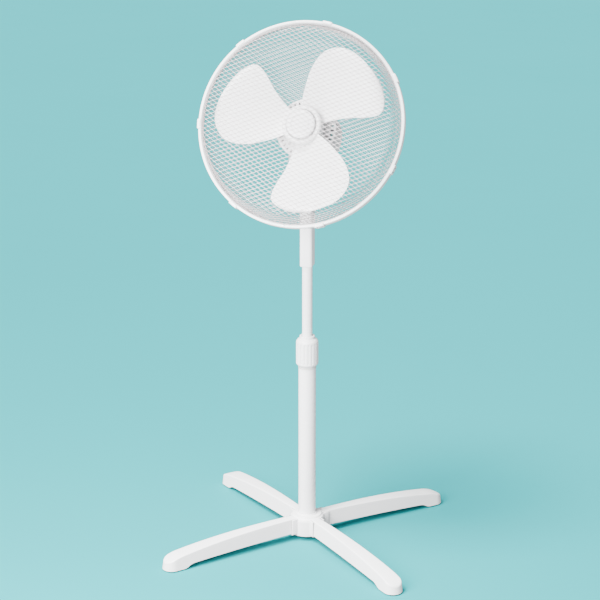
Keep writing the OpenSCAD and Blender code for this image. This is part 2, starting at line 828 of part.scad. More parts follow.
module motor_front_cover() {
    slots = guard_slots;
    slot_w = 3.2;
    color(white) on_axis(0) difference() {
        union() {
            translate([0, 0, front_plate_s]) cylinder(r = motor_r, h = front_plate_t);
            translate([0, 0, front_plate_s - 7]) cylinder(r = 13, h = 8);
            translate([0, 0, front_plate_s]) cylinder(r = boss_front_r, h = boss_front_s - front_plate_s);
            motor_screw_places() translate([0, 0, stator_s + stator_t])
                cylinder(r = 4.5, h = front_plate_s - stator_s - stator_t + 1);
        }
        translate([0, 0, 20]) cylinder(r = bearing_r, h = boss_front_s - 20 - 3);
        translate([0, 0, 20]) cylinder(r = shaft_r + 1, h = 100);
        motor_screw_places() translate([0, 0, 20]) cylinder(r = motor_screw_r + seat_fit, h = 30);
        for (i = [0:slots - 1]) rotate([0, 0, i * 360 / slots])
            translate([motor_r - 8.5, -slot_w / 2, 30]) cube([5.8, slot_w, 30]);
    }
}

// Section of the rear cover: a straight wall, then a superellipse dome
module dome_profile(r, shift) {
    steps = 14;
    back = dome_s - dome_len;
    polygon(concat([[0, front_plate_s + shift], [r, front_plate_s + shift], [r, dome_s]],
        [for (i = [1:steps - 1]) let (a = 90 * i / steps, s = dome_s - (dome_len - shift) * sin(a))
            [r * pow(max(0, 1 - pow(sin(a), dome_power)), 1 / dome_power), s]],
        [[0, back + shift]]));
}

module motor_rear_cover() {
    slots = 20;
    slot_w = 3;
    color(white) difference() {
        union() {
            difference() {
                on_axis(0) rotate_extrude() dome_profile(motor_r, 0);
                in_head() translate([0, 0, -20]) cylinder(r = skirt_r, h = floor_low + 8);
            }
            // skirt round the swivel
            intersection() {
                in_head() translate([0, 0, skirt_low]) ring(skirt_r + skirt_t, skirt_r, 30);
                on_axis(-100) cylinder(r = 200, h = 100 + front_plate_s);
            }
        }
        on_axis(0) rotate_extrude() dome_profile(motor_r - cover_wall, cover_wall);
        in_head() translate([0, 0, -20]) cylinder(r = skirt_r, h = floor_low + 8);
        // cooling slots round the back
        for (i = [0:slots - 1]) on_axis(0) rotate([0, 0, (i + 0.5) * 360 / slots])
            translate([26, -slot_w / 2, dome_s - dome_len - 10]) cube([18, slot_w, 30]);
        in_head() translate([spindle_x, -worm_s, axis_h]) cylinder(r = spindle_r + 1 + free_gap, h = 100);
    }
}

module stator() {
    color(steel) on_axis(stator_s) difference() {
        translate([-stator_w / 2, -stator_w / 2, 0]) cube([stator_w, stator_w, stator_t]);
        translate([0, 0, -1]) cylinder(r = stator_bore, h = stator_t + 2);
        motor_screw_places() translate([0, 0, -1]) cylinder(r = motor_screw_r + seat_fit, h = 50);
        for (a = [0:90:270]) rotate([0, 0, a]) translate([stator_w / 2 - 3, 0, -1])
            cylinder(r = 2, h = 50);
    }
}

module windings() {
    color(copper) for (s = [stator_s - winding_t, stator_s + stator_t]) on_axis(s)
        ring(34, 24, winding_t);
}

module motor_screws() {
    start = box_front - 5;
    color(steel) on_axis(0) motor_screw_places() translate([0, 0, start])
        cylinder(r = motor_screw_r, h = front_plate_s + front_plate_t - 2 - start);
}

module capacitor() {
    color(dark) in_head() translate([-44, 12, axis_h - 12]) cube([14, 26, 28]);
}

module front_bearing() {
    color(brass) on_axis(front_plate_s - 5) ring(bearing_r - seat_fit, shaft_r + run_fit, 14);
}

module rear_bearing() {
    color(brass) on_axis(box_front - 5) ring(bearing_r - seat_fit, shaft_r + run_fit, 8);
}

module rotor_core() {
    color(steel) on_axis(stator_s) ring(rotor_r, shaft_r + seat_fit, stator_t);
}

module motor_shaft() {
    color(steel) on_axis(shaft_back_s) difference() {
        cylinder(r = shaft_r, h = shaft_front_s - shaft_back_s);
        translate([-10, 0, drive_pin_s - shaft_back_s]) rotate([0, 90, 0])
            cylinder(r = drive_pin_r + seat_fit, h = 20);
    }
}

module worm() {
    color(brass) on_axis(worm_s - worm_len / 2) difference() {
        cylinder(r = worm_r, h = worm_len);
        translate([0, 0, -1]) cylinder(r = shaft_r + seat_fit, h = 40);
        for (z = [1.5:2.5:worm_len - 1]) translate([0, 0, z]) ring(20, worm_r - 1, 1);
    }
}

// ---------- blades ----------

// Distance of the blade's middle surface along the axis, by share of radius and share of chord
function blade_s(q, u) = blade_mid_s + blade_rake * q + (u - 0.5) * (blade_rise_root + blade_rise_tip * q)
    + blade_camber * (1 - pow(2 * u - 1, 2)) * q;

function blade_point(k, j, side) = let (
        q = outline[k][0],
        u = j / chord_steps,
        a = blade_phase + outline[k][1] + (outline[k][2] - outline[k][1]) * u,
        edge = j == 0 || j == chord_steps || k == len(outline) - 1 ? 0.35 : 1)
    [blade_r * q * cos(a), blade_r * q * sin(a), blade_s(q, u) + side * edge * blade_t / 2];

module blade() {
    rows = len(outline);
    n = chord_steps + 1;
    points = [for (side = [-1, 1], k = [0:rows - 1], j = [0:chord_steps]) blade_point(k, j, side)];
    function id(side, k, j) = side * rows * n + k * n + j;
    // Two triangles over the four corners a, b, c, d
    function quad(a, b, c, d) = [[a, b, c], [a, c, d]];
    faces = concat(
        [for (k = [0:rows - 2], j = [0:chord_steps - 1])
            each quad(id(0, k, j), id(0, k + 1, j), id(0, k + 1, j + 1), id(0, k, j + 1))],
        [for (k = [0:rows - 2], j = [0:chord_steps - 1])
            each quad(id(1, k, j), id(1, k, j + 1), id(1, k + 1, j + 1), id(1, k + 1, j))],
        [for (k = [0:rows - 2]) each quad(id(0, k, 0), id(1, k, 0), id(1, k + 1, 0), id(0, k + 1, 0))],
        [for (k = [0:rows - 2])
            each quad(id(0, k, n - 1), id(0, k + 1, n - 1), id(1, k + 1, n - 1), id(1, k, n - 1))],
        [for (j = [0:chord_steps - 1])
            each quad(id(0, 0, j), id(0, 0, j + 1), id(1, 0, j + 1), id(1, 0, j))],
        [for (j = [0:chord_steps - 1]) each quad(id(0, rows - 1, j), id(1, rows - 1, j),
            id(1, rows - 1, j + 1), id(0, rows - 1, j + 1))]);
    polyhedron(points = points, faces = faces);
}

module fan_blades() {
    wall = 2.5;
    boss = 9;
    hub_len = hub_front_s - hub_back_s;
    slot_len = drive_pin_len + 1;
    slot_half = drive_pin_r + seat_fit;
    color(white) on_axis(0) {
        for (i = [0:blade_count - 1]) rotate([0, 0, i * 360 / blade_count]) blade();
        translate([0, 0, hub_back_s]) difference() {
            union() {
                difference() {
                    rotate_extrude() polygon([[0, 0], [blade_hub_r, 0], [blade_hub_r, hub_len - 4],
                        [blade_hub_r - 1.2, hub_len - 1.2], [blade_hub_r - 4, hub_len], [0, hub_len]]);
                    translate([0, 0, -1]) cylinder(r = blade_hub_r - wall, h = hub_len - 3 + 1);
                }
                cylinder(r = boss, h = hub_len - 1);
                for (a = [0:60:300]) rotate([0, 0, a]) translate([boss - 1, -1, 6])
                    cube([blade_hub_r - wall - boss + 2, 2, hub_len - 8]);
            }
            translate([0, 0, -1]) cylinder(r = shaft_r + seat_fit, h = hub_len + 4);
            // slot for the drive pin, and the nut's seat
            translate([-slot_len / 2, -slot_half, -1])
                cube([slot_len, 2 * slot_half, drive_pin_s - hub_back_s + 1 + slot_half]);
            translate([0, 0, hub_len - 2]) cylinder(r = blade_nut_r + free_gap, h = 5);
        }
    }
}

module drive_pin() {
    color(steel) on_axis(drive_pin_s) translate([-drive_pin_len / 2, 0, 0]) rotate([0, 90, 0])
        cylinder(r = drive_pin_r, h = drive_pin_len);
}

module blade_nut() {
    back = hub_front_s - 2;
    len = nut_front_s - back;
    grips = 24;
    seam_r = blade_nut_r - 11.8;
    color(white) on_axis(back) difference() {
        rotate_extrude() polygon([[0, 0], [blade_nut_r, 0], [blade_nut_r, len - 5],
            [blade_nut_r - 1.2, len - 2.4], [blade_nut_r - 4, len - 1], [blade_nut_r - 9, len - 0.2],
            [0, len]]);
        translate([0, 0, -1]) cylinder(r = shaft_r + seat_fit, h = shaft_front_s - back + 1.2);
        for (i = [0:grips - 1]) rotate([0, 0, i * 360 / grips]) translate([blade_nut_r + 0.5, 0, 3])
            cylinder(r = 1.1, h = len);
        translate([0, 0, len - 0.8]) ring(seam_r + 0.5, seam_r - 0.5, 3);
    }
}

// ---------- guard ----------

module guard_centre_plate() {
    slots = guard_slots;
    slot_w = 3.2;
    holes = 12;
    hole_r = 3;
    color(white) on_axis(plate_s) difference() {
        cylinder(r = plate_r, h = plate_t);
        translate([0, 0, -1]) cylinder(r = boss_front_r + seat_fit, h = 10);
        for (i = [0:slots - 1]) rotate([0, 0, i * 360 / slots])
            translate([plate_r - 11, -slot_w / 2, -1]) cube([6.5, slot_w, 10]);
        for (i = [0:holes - 1]) rotate([0, 0, (i + 0.5) * 360 / holes])
            translate([plate_r - 18, 0, -1]) cylinder(r = hole_r, h = 10);
    }
}

module guard_lock_nut() {
    h = 9;
    notches = 12;
    color(pale) on_axis(plate_s + plate_t) difference() {
        union() {
            cylinder(r = lock_nut_r, h = h - 3);
            cylinder(r = boss_front_r + 5, h = h);
        }
        translate([0, 0, -1]) cylinder(r = boss_front_r + seat_fit, h = h + 2);
        for (i = [0:notches - 1]) rotate([0, 0, i * 360 / notches]) translate([lock_nut_r + 1, 0, -1])
            cylinder(r = 3, h = h + 2);
    }
}

// Guards are dished sheets here: the open diamond mesh stands in their place
module rear_guard() {
    s0 = rear_face_s;
    color(mesh_white) on_axis(0) rotate_extrude($fn = 96) polygon([
        [motor_r + 0.3, s0], [rear_flat_r, s0], [rim_r - 30, s0 + 4.5], [rim_r - 18, s0 + 13],
        [rim_r - 11, s0 + 24], [edge_r - 2.4, rim_s - 1 - mesh_t], [edge_r, rim_s - 1 - mesh_t],
        [edge_r, rim_s - 1], [edge_r - 2.4 - mesh_t, rim_s - 1], [rim_r - 11 - mesh_t, s0 + 24 + mesh_t],
        [rim_r - 18 - mesh_t, s0 + 13 + mesh_t], [rim_r - 30, s0 + 4.5 + mesh_t],
        [rear_flat_r, s0 + mesh_t], [motor_r + 0.3, s0 + mesh_t]]);
}

module front_guard() {
    s1 = front_face_s;
    color(mesh_white) on_axis(0) rotate_extrude($fn = 96) polygon([
        [0, s1 + dome_rise], [face_r / 2, s1 + dome_rise * 0.75], [face_r - 6, s1], [face_r, s1 - 4],
        [edge_r - 3, rim_s + 1 + mesh_t], [edge_r, rim_s + 1 + mesh_t], [edge_r, rim_s + 1],
        [edge_r - 3 - mesh_t, rim_s + 1], [face_r - mesh_t, s1 - 4 - mesh_t / 2],
        [face_r - 6 - mesh_t / 2, s1 - mesh_t], [face_r / 2, s1 + dome_rise * 0.75 - mesh_t],
        [0, s1 + dome_rise - mesh_t]]);
}

module rim_screw_place() {
    on_axis(rim_s) rotate([0, 0, -90 - rim_screw_turn])
        translate([rim_in + rim_slope_w + rim_screw_head_r, 0, rim_w / 2]) children();
}

module guard_rim() {
    h = rim_w / 2;
    groove = 1 + mesh_t + groove_gap;
    color(white) difference() {
        on_axis(rim_s) rotate_extrude($fn = 128) polygon([
            [rim_in, -h + 2.5], [rim_in + 2, -h], [rim_r - 2.5, -h], [rim_r, -h + 3], [rim_r, h - 3],
            [rim_r - 2.5, h], [rim_in + rim_slope_w, h], [rim_in, groove + rim_land],
            [rim_in, groove], [edge_r + groove_gap, groove], [edge_r + groove_gap, -groove],
            [rim_in, -groove]]);
        rim_screw_place() translate([0, 0, -rim_screw_len]) cylinder(r = rim_screw_r + seat_fit, h = 20);
    }
}

module rim_clips() {
    h = rim_w / 2 + 1.5;
    color(white) on_axis(rim_s) for (i = [0:clip_count - 1])
        rotate([0, 0, clip_phase + i * 360 / clip_count])
            difference() {
                union() {
                    translate([rim_r + seat_fit, -clip_w / 2, -h]) cube([clip_out, clip_w, 2 * h]);
                    for (z = [-h, h - clip_hook_t]) translate([rim_r - clip_hook, -clip_w / 2 + 2, z])
                        cube([clip_hook + clip_out, clip_w - 4, clip_hook_t]);
                }
                for (y = [-4.5, 4.5]) translate([rim_r - 1, y - 1, -h + 4]) cube([10, 2, 2 * h - 8]);
            }
}

module rim_screw() {
    color(steel) rim_screw_place() {
        cylinder(r = rim_screw_head_r, h = 1.6);
        translate([0, 0, -rim_screw_len + 0.2]) cylinder(r = rim_screw_r, h = rim_screw_len);
    }
}

// ---------- parts ----------

base_hub();
leg(leg_angles[0]);  // leg_front_left
leg(leg_angles[1]);  // leg_front_right
leg(leg_angles[2]);  // leg_back_left
leg(leg_angles[3]);  // leg_back_right
foot_pads();
leg_screws();
base_nut();
outer_tube();
guide_bush();
height_collar();
inner_tube();
guide_plug();
control_housing();
housing_back();
housing_screws();
neck_screw();
switch_block();
cord_gland();
tilt_bolt();
tilt_nut();
tilt_knob();
button_off();
button_low();
button_medium();
button_high();
tilt_bracket();
swivel_post();
swing_arm();
gear_housing();
gear_lid();
post_screw();
crank_arm();
crank_gear();
clutch_spindle();
worm_wheel();
oscillation_knob();
motor_front_cover();
motor_rear_cover();
stator();
windings();
motor_screws();
capacitor();
front_bearing();
rear_bearing();
rotor_core();
motor_shaft();
worm();
fan_blades();
drive_pin();
blade_nut();
guard_centre_plate();
guard_lock_nut();
rear_guard();
front_guard();
guard_rim();
rim_clips();
rim_screw();
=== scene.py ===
"""Looks of the pedestal fan. Every shown piece is built here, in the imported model's own frame.

Shapes are worked out in millimetres and turned into metres when a mesh is made.
"""
import json
import math

import bmesh
import bpy
import numpy as np
from mathutils import Matrix, Vector


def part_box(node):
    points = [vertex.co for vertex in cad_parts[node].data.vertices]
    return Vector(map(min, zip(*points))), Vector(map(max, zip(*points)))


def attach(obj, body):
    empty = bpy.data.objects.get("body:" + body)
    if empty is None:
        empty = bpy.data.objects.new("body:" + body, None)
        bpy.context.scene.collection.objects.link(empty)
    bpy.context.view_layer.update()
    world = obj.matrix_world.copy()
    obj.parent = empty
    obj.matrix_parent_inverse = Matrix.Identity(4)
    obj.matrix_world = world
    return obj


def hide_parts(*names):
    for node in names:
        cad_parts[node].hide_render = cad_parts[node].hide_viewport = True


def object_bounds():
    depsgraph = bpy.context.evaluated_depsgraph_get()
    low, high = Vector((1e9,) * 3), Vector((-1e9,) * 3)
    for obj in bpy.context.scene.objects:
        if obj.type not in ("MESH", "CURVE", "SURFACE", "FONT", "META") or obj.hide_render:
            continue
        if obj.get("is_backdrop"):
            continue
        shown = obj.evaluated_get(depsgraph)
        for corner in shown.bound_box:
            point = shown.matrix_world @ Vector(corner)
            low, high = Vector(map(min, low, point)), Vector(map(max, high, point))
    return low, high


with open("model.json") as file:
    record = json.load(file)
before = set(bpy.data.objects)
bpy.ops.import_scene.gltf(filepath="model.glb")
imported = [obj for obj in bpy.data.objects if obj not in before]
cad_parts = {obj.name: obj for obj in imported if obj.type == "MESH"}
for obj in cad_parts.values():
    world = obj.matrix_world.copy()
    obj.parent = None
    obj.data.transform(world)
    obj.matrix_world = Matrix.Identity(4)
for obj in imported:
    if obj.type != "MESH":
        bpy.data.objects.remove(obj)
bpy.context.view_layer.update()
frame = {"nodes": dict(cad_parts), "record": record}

MM = 0.001
SCENE = bpy.context.scene

# ---------------------------------------------------------------- places


def levels(node):
    """Lowest and highest level of a CAD node, in millimetres."""
    low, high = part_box(node)
    return low.z / MM, high.z / MM


PIVOT_Z = sum(levels("tilt_bolt")) / 2
HEAD_TILT = math.radians(23.5)
AXIS_H = 80.0
RIM_S = 97.0
STAND = Matrix.Identity(4)
HEAD = Matrix.Translation((0, 0, PIVOT_Z)) @ Matrix.Rotation(-HEAD_TILT, 4, "X")
AXIS = HEAD @ Matrix.Translation((0, 0, AXIS_H)) @ Matrix.Rotation(math.pi / 2, 4, "X")


# ---------------------------------------------------------------- curves and outlines
def through(xs, ys, x):
    """A smooth curve through the points, with no overshoot, read at x."""
    xs, ys, x = np.asarray(xs, float), np.asarray(ys, float), np.asarray(x, float)
    gap = np.diff(xs)
    rise = np.diff(ys) / gap
    slope = np.zeros_like(ys)
    for k in range(1, len(xs) - 1):
        if rise[k - 1] * rise[k] > 0:
            w1, w2 = 2 * gap[k] + gap[k - 1], gap[k] + 2 * gap[k - 1]
            slope[k] = (w1 + w2) / (w1 / rise[k - 1] + w2 / rise[k])
    slope[0], slope[-1] = rise[0], rise[-1]
    i = np.clip(np.searchsorted(xs, x) - 1, 0, len(gap) - 1)
    t = np.clip((x - xs[i]) / gap[i], 0, 1)
    return (ys[i] * (2 * t**3 - 3 * t**2 + 1) + gap[i] * slope[i] * (t**3 - 2 * t**2 + t)
            + ys[i + 1] * (3 * t**2 - 2 * t**3) + gap[i] * slope[i + 1] * (t**3 - t**2))


def rounded(points, radii, closed=False, steps=4):
    """The outline with each corner rounded by its radius."""
    count = len(points)
    if not hasattr(radii, "__len__"):
        radii = [radii] * count
    out = []
    for i, p in enumerate(points):
        p = np.array(p, float)
        if radii[i] <= 0 or (not closed and i in (0, count - 1)):
            out.append(p)
            continue
        a, b = np.array(points[i - 1], float) - p, np.array(points[(i + 1) % count], float) - p
        la, lb = np.linalg.norm(a), np.linalg.norm(b)
        a, b = a / la, b / lb
        half = math.acos(max(-1, min(1, float(a @ b)))) / 2
        cut = min(radii[i] / max(math.tan(half), 1e-3), 0.48 * la, 0.48 * lb)
        for k in range(steps + 1):
            t = k / steps
            out.append((p + a * cut) * (1 - t) ** 2 + p * 2 * t * (1 - t) + (p + b * cut) * t**2)
    return out


def rounded_rectangle(w, d, r, z, steps=6):
    """A level ring of points round a rectangle with rounded corners."""
    ring = []
    for k, (sx, sy) in enumerate(((1, 1), (-1, 1), (-1, -1), (1, -1))):
        for i in range(steps + 1):
            a = math.pi / 2 * (k + i / steps)
            ring.append((sx * (w / 2 - r) + r * math.cos(a), sy * (d / 2 - r) + r * math.sin(a), z))
    return ring


# ---------------------------------------------------------------- meshes
def strips(rows, cols, wrap_rows=False, wrap_cols=False, start=0):
    """The faces of a grid of points, row by row."""
    faces = []
    for i in range(rows if wrap_rows else rows - 1):
        for j in range(cols if wrap_cols else cols - 1):
            i2, j2 = (i + 1) % rows, (j + 1) % cols
            faces.append((start + i * cols + j, start + i2 * cols + j,
                          start + i2 * cols + j2, start + i * cols + j2))
    return faces


def join(*parts):
    """Several (points, faces) as one."""
    points, faces = [], []
    for p, f in parts:
        faces += [tuple(v + len(points) for v in face) for face in f]
        points += [tuple(v) for v in p]
    return points, faces


def moved(part, matrix):
    """A (points, faces) part under a matrix."""
    return [tuple(matrix @ Vector(p)) for p in part[0]], part[1]


def lathe(profile, turns=96, closed=False, shape=None, start=0.0, sweep=2 * math.pi):
    """Turns (r, z) points round Z. shape(angle, r, z) may change the radius."""
    whole = abs(sweep - 2 * math.pi) < 1e-6
    rows = turns if whole else turns + 1
    points = []
    for i in range(rows):
        a = start + sweep * i / turns
        for r, z in profile:
            r = shape(a, r, z) if shape else r
            points.append((r * math.cos(a), r * math.sin(a), z))
    faces = strips(rows, len(profile), whole, closed)
    if not whole:
        faces += [tuple(range(len(profile)))[::-1],
                  tuple(range((rows - 1) * len(profile), rows * len(profile)))]
    return points, faces


def loft(rings):
    """Skins a list of rings with the same number of points, and closes both ends."""
    cols = len(rings[0])
    points = [p for ring in rings for p in ring]
    faces = strips(len(rings), cols, False, True)
    faces += [tuple(range(cols)), tuple(range((len(rings) - 1) * cols, len(rings) * cols))[::-1]]
    return points, faces


def extrude(outline, low, high, axis="Z"):
    """A solid of an outline in the plane across the axis, from low to high along it."""
    def at(p, h):
        return {"Z": (p[0], p[1], h), "X": (h, p[0], p[1]), "Y": (p[0], h, p[1])}[axis]
    return loft([[at(p, low) for p in outline], [at(p, high) for p in outline]])


def block(x0, x1, y0, y1, z0, z1):
    """A box between two corners."""
    return extrude([(x0, y0), (x1, y0), (x1, y1), (x0, y1)], z0, z1)


def clean(mesh):
    """Welds a mesh, drops what has no area and turns its faces outwards."""
    bm = bmesh.new()
    bm.from_mesh(mesh)
    bmesh.ops.remove_doubles(bm, verts=bm.verts, dist=0.004 * MM)
    bmesh.ops.dissolve_degenerate(bm, dist=0.001 * MM, edges=bm.edges)
    bmesh.ops.recalc_face_normals(bm, faces=bm.faces)
    bm.to_mesh(mesh)
    bm.free()


def bake(ob):
    """Applies the modifiers that an object has."""
    view = bpy.context.evaluated_depsgraph_get()
    mesh = bpy.data.meshes.new_from_object(ob.evaluated_get(view))
    ob.modifiers.clear()
    ob.data = mesh


def bevel(ob, width, segments=2, angle=35):
    """Rounds the edges that are sharper than the angle."""
    m = ob.modifiers.new("Edges", "BEVEL")
    m.width = width * MM
    m.segments = segments
    m.limit_method = "ANGLE"
    m.angle_limit = math.radians(angle)
    m.use_clamp_overlap = True
    bake(ob)


def cut(ob, part, matrix=STAND, keep="DIFFERENCE"):
    """Cuts a shape out of an object, or keeps only what both hold."""
    tool = raw("tool", part, matrix)
    m = ob.modifiers.new("Cut", "BOOLEAN")
    m.operation = keep
    m.solver = "EXACT"
    m.object = tool
    bake(ob)
    bpy.data.objects.remove(tool)


def raw(name, part, matrix=STAND):
    """An object in metres, made from a part in millimetres."""
    mesh = bpy.data.meshes.new(name)
    mesh.from_pydata([tuple(p) for p in part[0]], [], [tuple(f) for f in part[1]])
    mesh.transform(Matrix.Scale(MM, 4) @ matrix)
    clean(mesh)
    ob = bpy.data.objects.new(name, mesh)
    SCENE.collection.objects.link(ob)
    return ob


def settle(ob, body, material, nodes=(), sharp=38):
    """The last step for a piece: shading, material, body and the nodes it stands for."""
    ob.data.shade_smooth()
    ob.data.set_sharp_from_angle(angle=math.radians(sharp))
    ob.data.materials.clear()
    ob.data.materials.append(material)
    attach(ob, body)
    if nodes:
        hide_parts(*nodes)
    return ob


def piece(name, part, matrix, body, material, nodes=(), edge=0.0, segments=2, sharp=38):
    """A finished piece: mesh, eased edges, material and body."""
    ob = raw(name, part, matrix)
    if edge:
        bevel(ob, edge, segments)
    return settle(ob, body, material, nodes, sharp)


# ---------------------------------------------------------------- materials
class Nodes:
    """Short calls for the nodes of one material."""

    def __init__(self, name):
        self.material = bpy.data.materials.new(name)
        self.material.use_nodes = True
        self.tree = self.material.node_tree
        self.shader = self.tree.nodes["Principled BSDF"]
        self.place = self.add("ShaderNodeTexCoord").outputs["Object"]

    def add(self, kind, **inputs):
        node = self.tree.nodes.new(kind)
        for key, value in inputs.items():
            self.put(node.inputs[key], value)
        return node

    def put(self, socket, value):
        if hasattr(value, "is_output"):
            self.tree.links.new(value, socket)
        else:
            socket.default_value = value

    def noise(self, scale, detail=2.0, stretch=None, rough=0.5):
        place = self.place
        if stretch:
            place = self.add("ShaderNodeMapping", Vector=place, Scale=stretch).outputs["Vector"]
        return self.add("ShaderNodeTexNoise", Vector=place, Scale=scale, Detail=detail,
                        Roughness=rough).outputs["Fac"]

    def spread(self, value, low, high, start=0.3, end=0.7):
        """Maps start..end of a value to low..high."""
        node = self.tree.nodes.new("ShaderNodeMapRange")
        self.put(node.inputs["Value"], value)
        for key, v in (("From Min", start), ("From Max", end), ("To Min", low), ("To Max", high)):
            node.inputs[key].default_value = v
        return node.outputs["Result"]

    def blend(self, share, a, b):
        node = self.tree.nodes.new("ShaderNodeMix")
        node.data_type = "RGBA"
        self.put(node.inputs["Factor"], share)
        for socket, value in ((node.inputs[6], a), (node.inputs[7], b)):
            self.put(socket, value if hasattr(value, "is_output") else (*value, 1))
        return node.outputs[2]

    def bump(self, height, strength, distance, under=None):
        node = self.add("ShaderNodeBump", Height=height, Strength=strength, Distance=distance)
        if under:
            self.put(node.inputs["Normal"], under)
        return node.outputs["Normal"]

    def edges(self):
        """1 on outer edges, 0 elsewhere."""
        tip = self.add("ShaderNodeNewGeometry").outputs["Pointiness"]
        return self.spread(tip, 0, 1, 0.53, 0.62)

    def painted_gap_shade(self):
        """Painted shade: 1 at the bottom of narrow gaps, where shade falls, 0 in the open."""
        open_sky = self.add("ShaderNodeAmbientOcclusion", Distance=0.005)
        open_sky.samples = 4
        return self.spread(open_sky.outputs["AO"], 1, 0, 0.22, 0.72)


def plastic(name, color, rough, grain=0.02, grain_size=0.9, drift=0.02, coat=0.0, wave=0.0, warm=0.0):
    """Moulded plastic: slow tone drift, fine grain, flow marks, rubbed edges and painted shade in narrow
    gaps.
    """
    n = Nodes(name)
    c = np.array(color, float)
    light, deep = np.clip(c * (1 + drift), 0, 1), c * (1 - drift) * (1, 1 - warm, 1 - 2 * warm)
    tone = n.blend(n.spread(n.noise(7, 3), 0, 1), deep, light)
    tone = n.blend(n.spread(n.noise(95, 4, rough=0.7), 0, 0.25, 0.45, 0.75), tone, c * 0.95)
    tone = n.blend(n.spread(n.edges(), 0, 0.35, 0, 1), tone, np.clip(c * 1.04, 0, 1))
    # painted shade: ambient occlusion darkens the colour towards c * 0.22 at the bottom of narrow gaps and
    # seams
    tone = n.blend(n.spread(n.painted_gap_shade(), 0, 0.85, 0, 1), tone, c * 0.22)
    n.put(n.shader.inputs["Base Color"], tone)
    n.put(n.shader.inputs["Roughness"], n.spread(n.noise(48, 5, rough=0.65), rough - 0.06, rough + 0.07))
    normal = n.bump(n.noise(1000 / grain_size, 2), grain, 0.0004)
    if wave:
        normal = n.bump(n.noise(60, 2, (1, 1, 0.35)), wave, 0.002, normal)
    n.put(n.shader.inputs["Normal"], normal)
    n.shader.inputs["IOR"].default_value = 1.49
    if coat:
        n.shader.inputs["Coat Weight"].default_value = coat
        n.shader.inputs["Coat Roughness"].default_value = 0.12
    return n.material


def paint(name, color, rough, peel=0.05, coat=0.25, tint=(1, 1, 1)):
    """Powder coat on steel: orange peel, pinholes, slight tint drift."""
    n = Nodes(name)
    c = np.array(color, float)
    tone = n.blend(n.spread(n.noise(11, 3), 0, 1), c * 0.975, np.clip(c * 1.015, 0, 1))
    tone = n.blend(n.spread(n.noise(130, 3), 0, 0.5, 0.4, 0.7), tone, c * np.array(tint))
    tone = n.blend(n.spread(n.edges(), 0, 0.3, 0, 1), tone, c * 0.96)
    n.put(n.shader.inputs["Base Color"], tone)
    n.put(n.shader.inputs["Roughness"], n.spread(n.noise(75, 4), rough - 0.05, rough + 0.06))
    fine = n.bump(n.noise(1700, 2), peel * 0.5, 0.0002)
    n.put(n.shader.inputs["Normal"], n.bump(n.noise(420, 2), peel, 0.0006, fine))
    n.shader.inputs["IOR"].default_value = 1.5
    n.shader.inputs["Coat Weight"].default_value = coat
    n.shader.inputs["Coat Roughness"].default_value = 0.1
    return n.material


def metal(name, color, rough, stretch=(900, 900, 40), drift=0.08):
    """Drawn or plated metal with fine lines along one way."""
    n = Nodes(name)
    c = np.array(color, float)
    lines = n.noise(1, 3, stretch)
    tone = n.blend(n.spread(n.noise(90, 4), 0, 1), c * (1 - drift), np.clip(c * (1 + drift), 0, 1))
    tone = n.blend(n.spread(lines, 0, 0.35), tone, c * 0.7)
    n.put(n.shader.inputs["Base Color"], tone)
    n.put(n.shader.inputs["Roughness"], n.spread(lines, rough - 0.08, rough + 0.1))
    n.put(n.shader.inputs["Normal"], n.bump(lines, 0.08, 0.0002))
    n.shader.inputs["Metallic"].default_value = 1.0
    return n.material


def rubber(name, color):
    """Matt rubber with a fine grain and pale dust."""
    n = Nodes(name)
    c = np.array(color, float)
    tone = n.blend(n.spread(n.noise(60, 4), 0, 1), c * 0.8, c * 1.25)
    tone = n.blend(n.spread(n.noise(900, 2), 0, 0.3, 0.6, 0.75), tone, c + 0.08)
    n.put(n.shader.inputs["Base Color"], tone)
    n.put(n.shader.inputs["Roughness"], n.spread(n.noise(200, 3), 0.62, 0.85))
    n.put(n.shader.inputs["Normal"], n.bump(n.noise(1300, 3), 0.12, 0.0004))
    return n.material


def wound(name, color, pitch, axis):
    """Enamelled wire or stacked sheets: fine bands across one axis."""
    n = Nodes(name)
    c = np.array(color, float)
    place = n.add("ShaderNodeMapping", Vector=n.place, Rotation=axis).outputs["Vector"]
    wave = n.add("ShaderNodeTexWave", Vector=place, Scale=1 / (pitch * MM) / 20, Distortion=0.6,
                 Detail=2.0).outputs["Fac"]
    n.put(n.shader.inputs["Base Color"], n.blend(wave, c * 0.55, np.clip(c * 1.1, 0, 1)))
    n.put(n.shader.inputs["Roughness"], n.spread(wave, 0.45, 0.3, 0, 1))
    n.put(n.shader.inputs["Normal"], n.bump(wave, 0.5, 0.0004))
    n.shader.inputs["Metallic"].default_value = 0.8
    return n.material


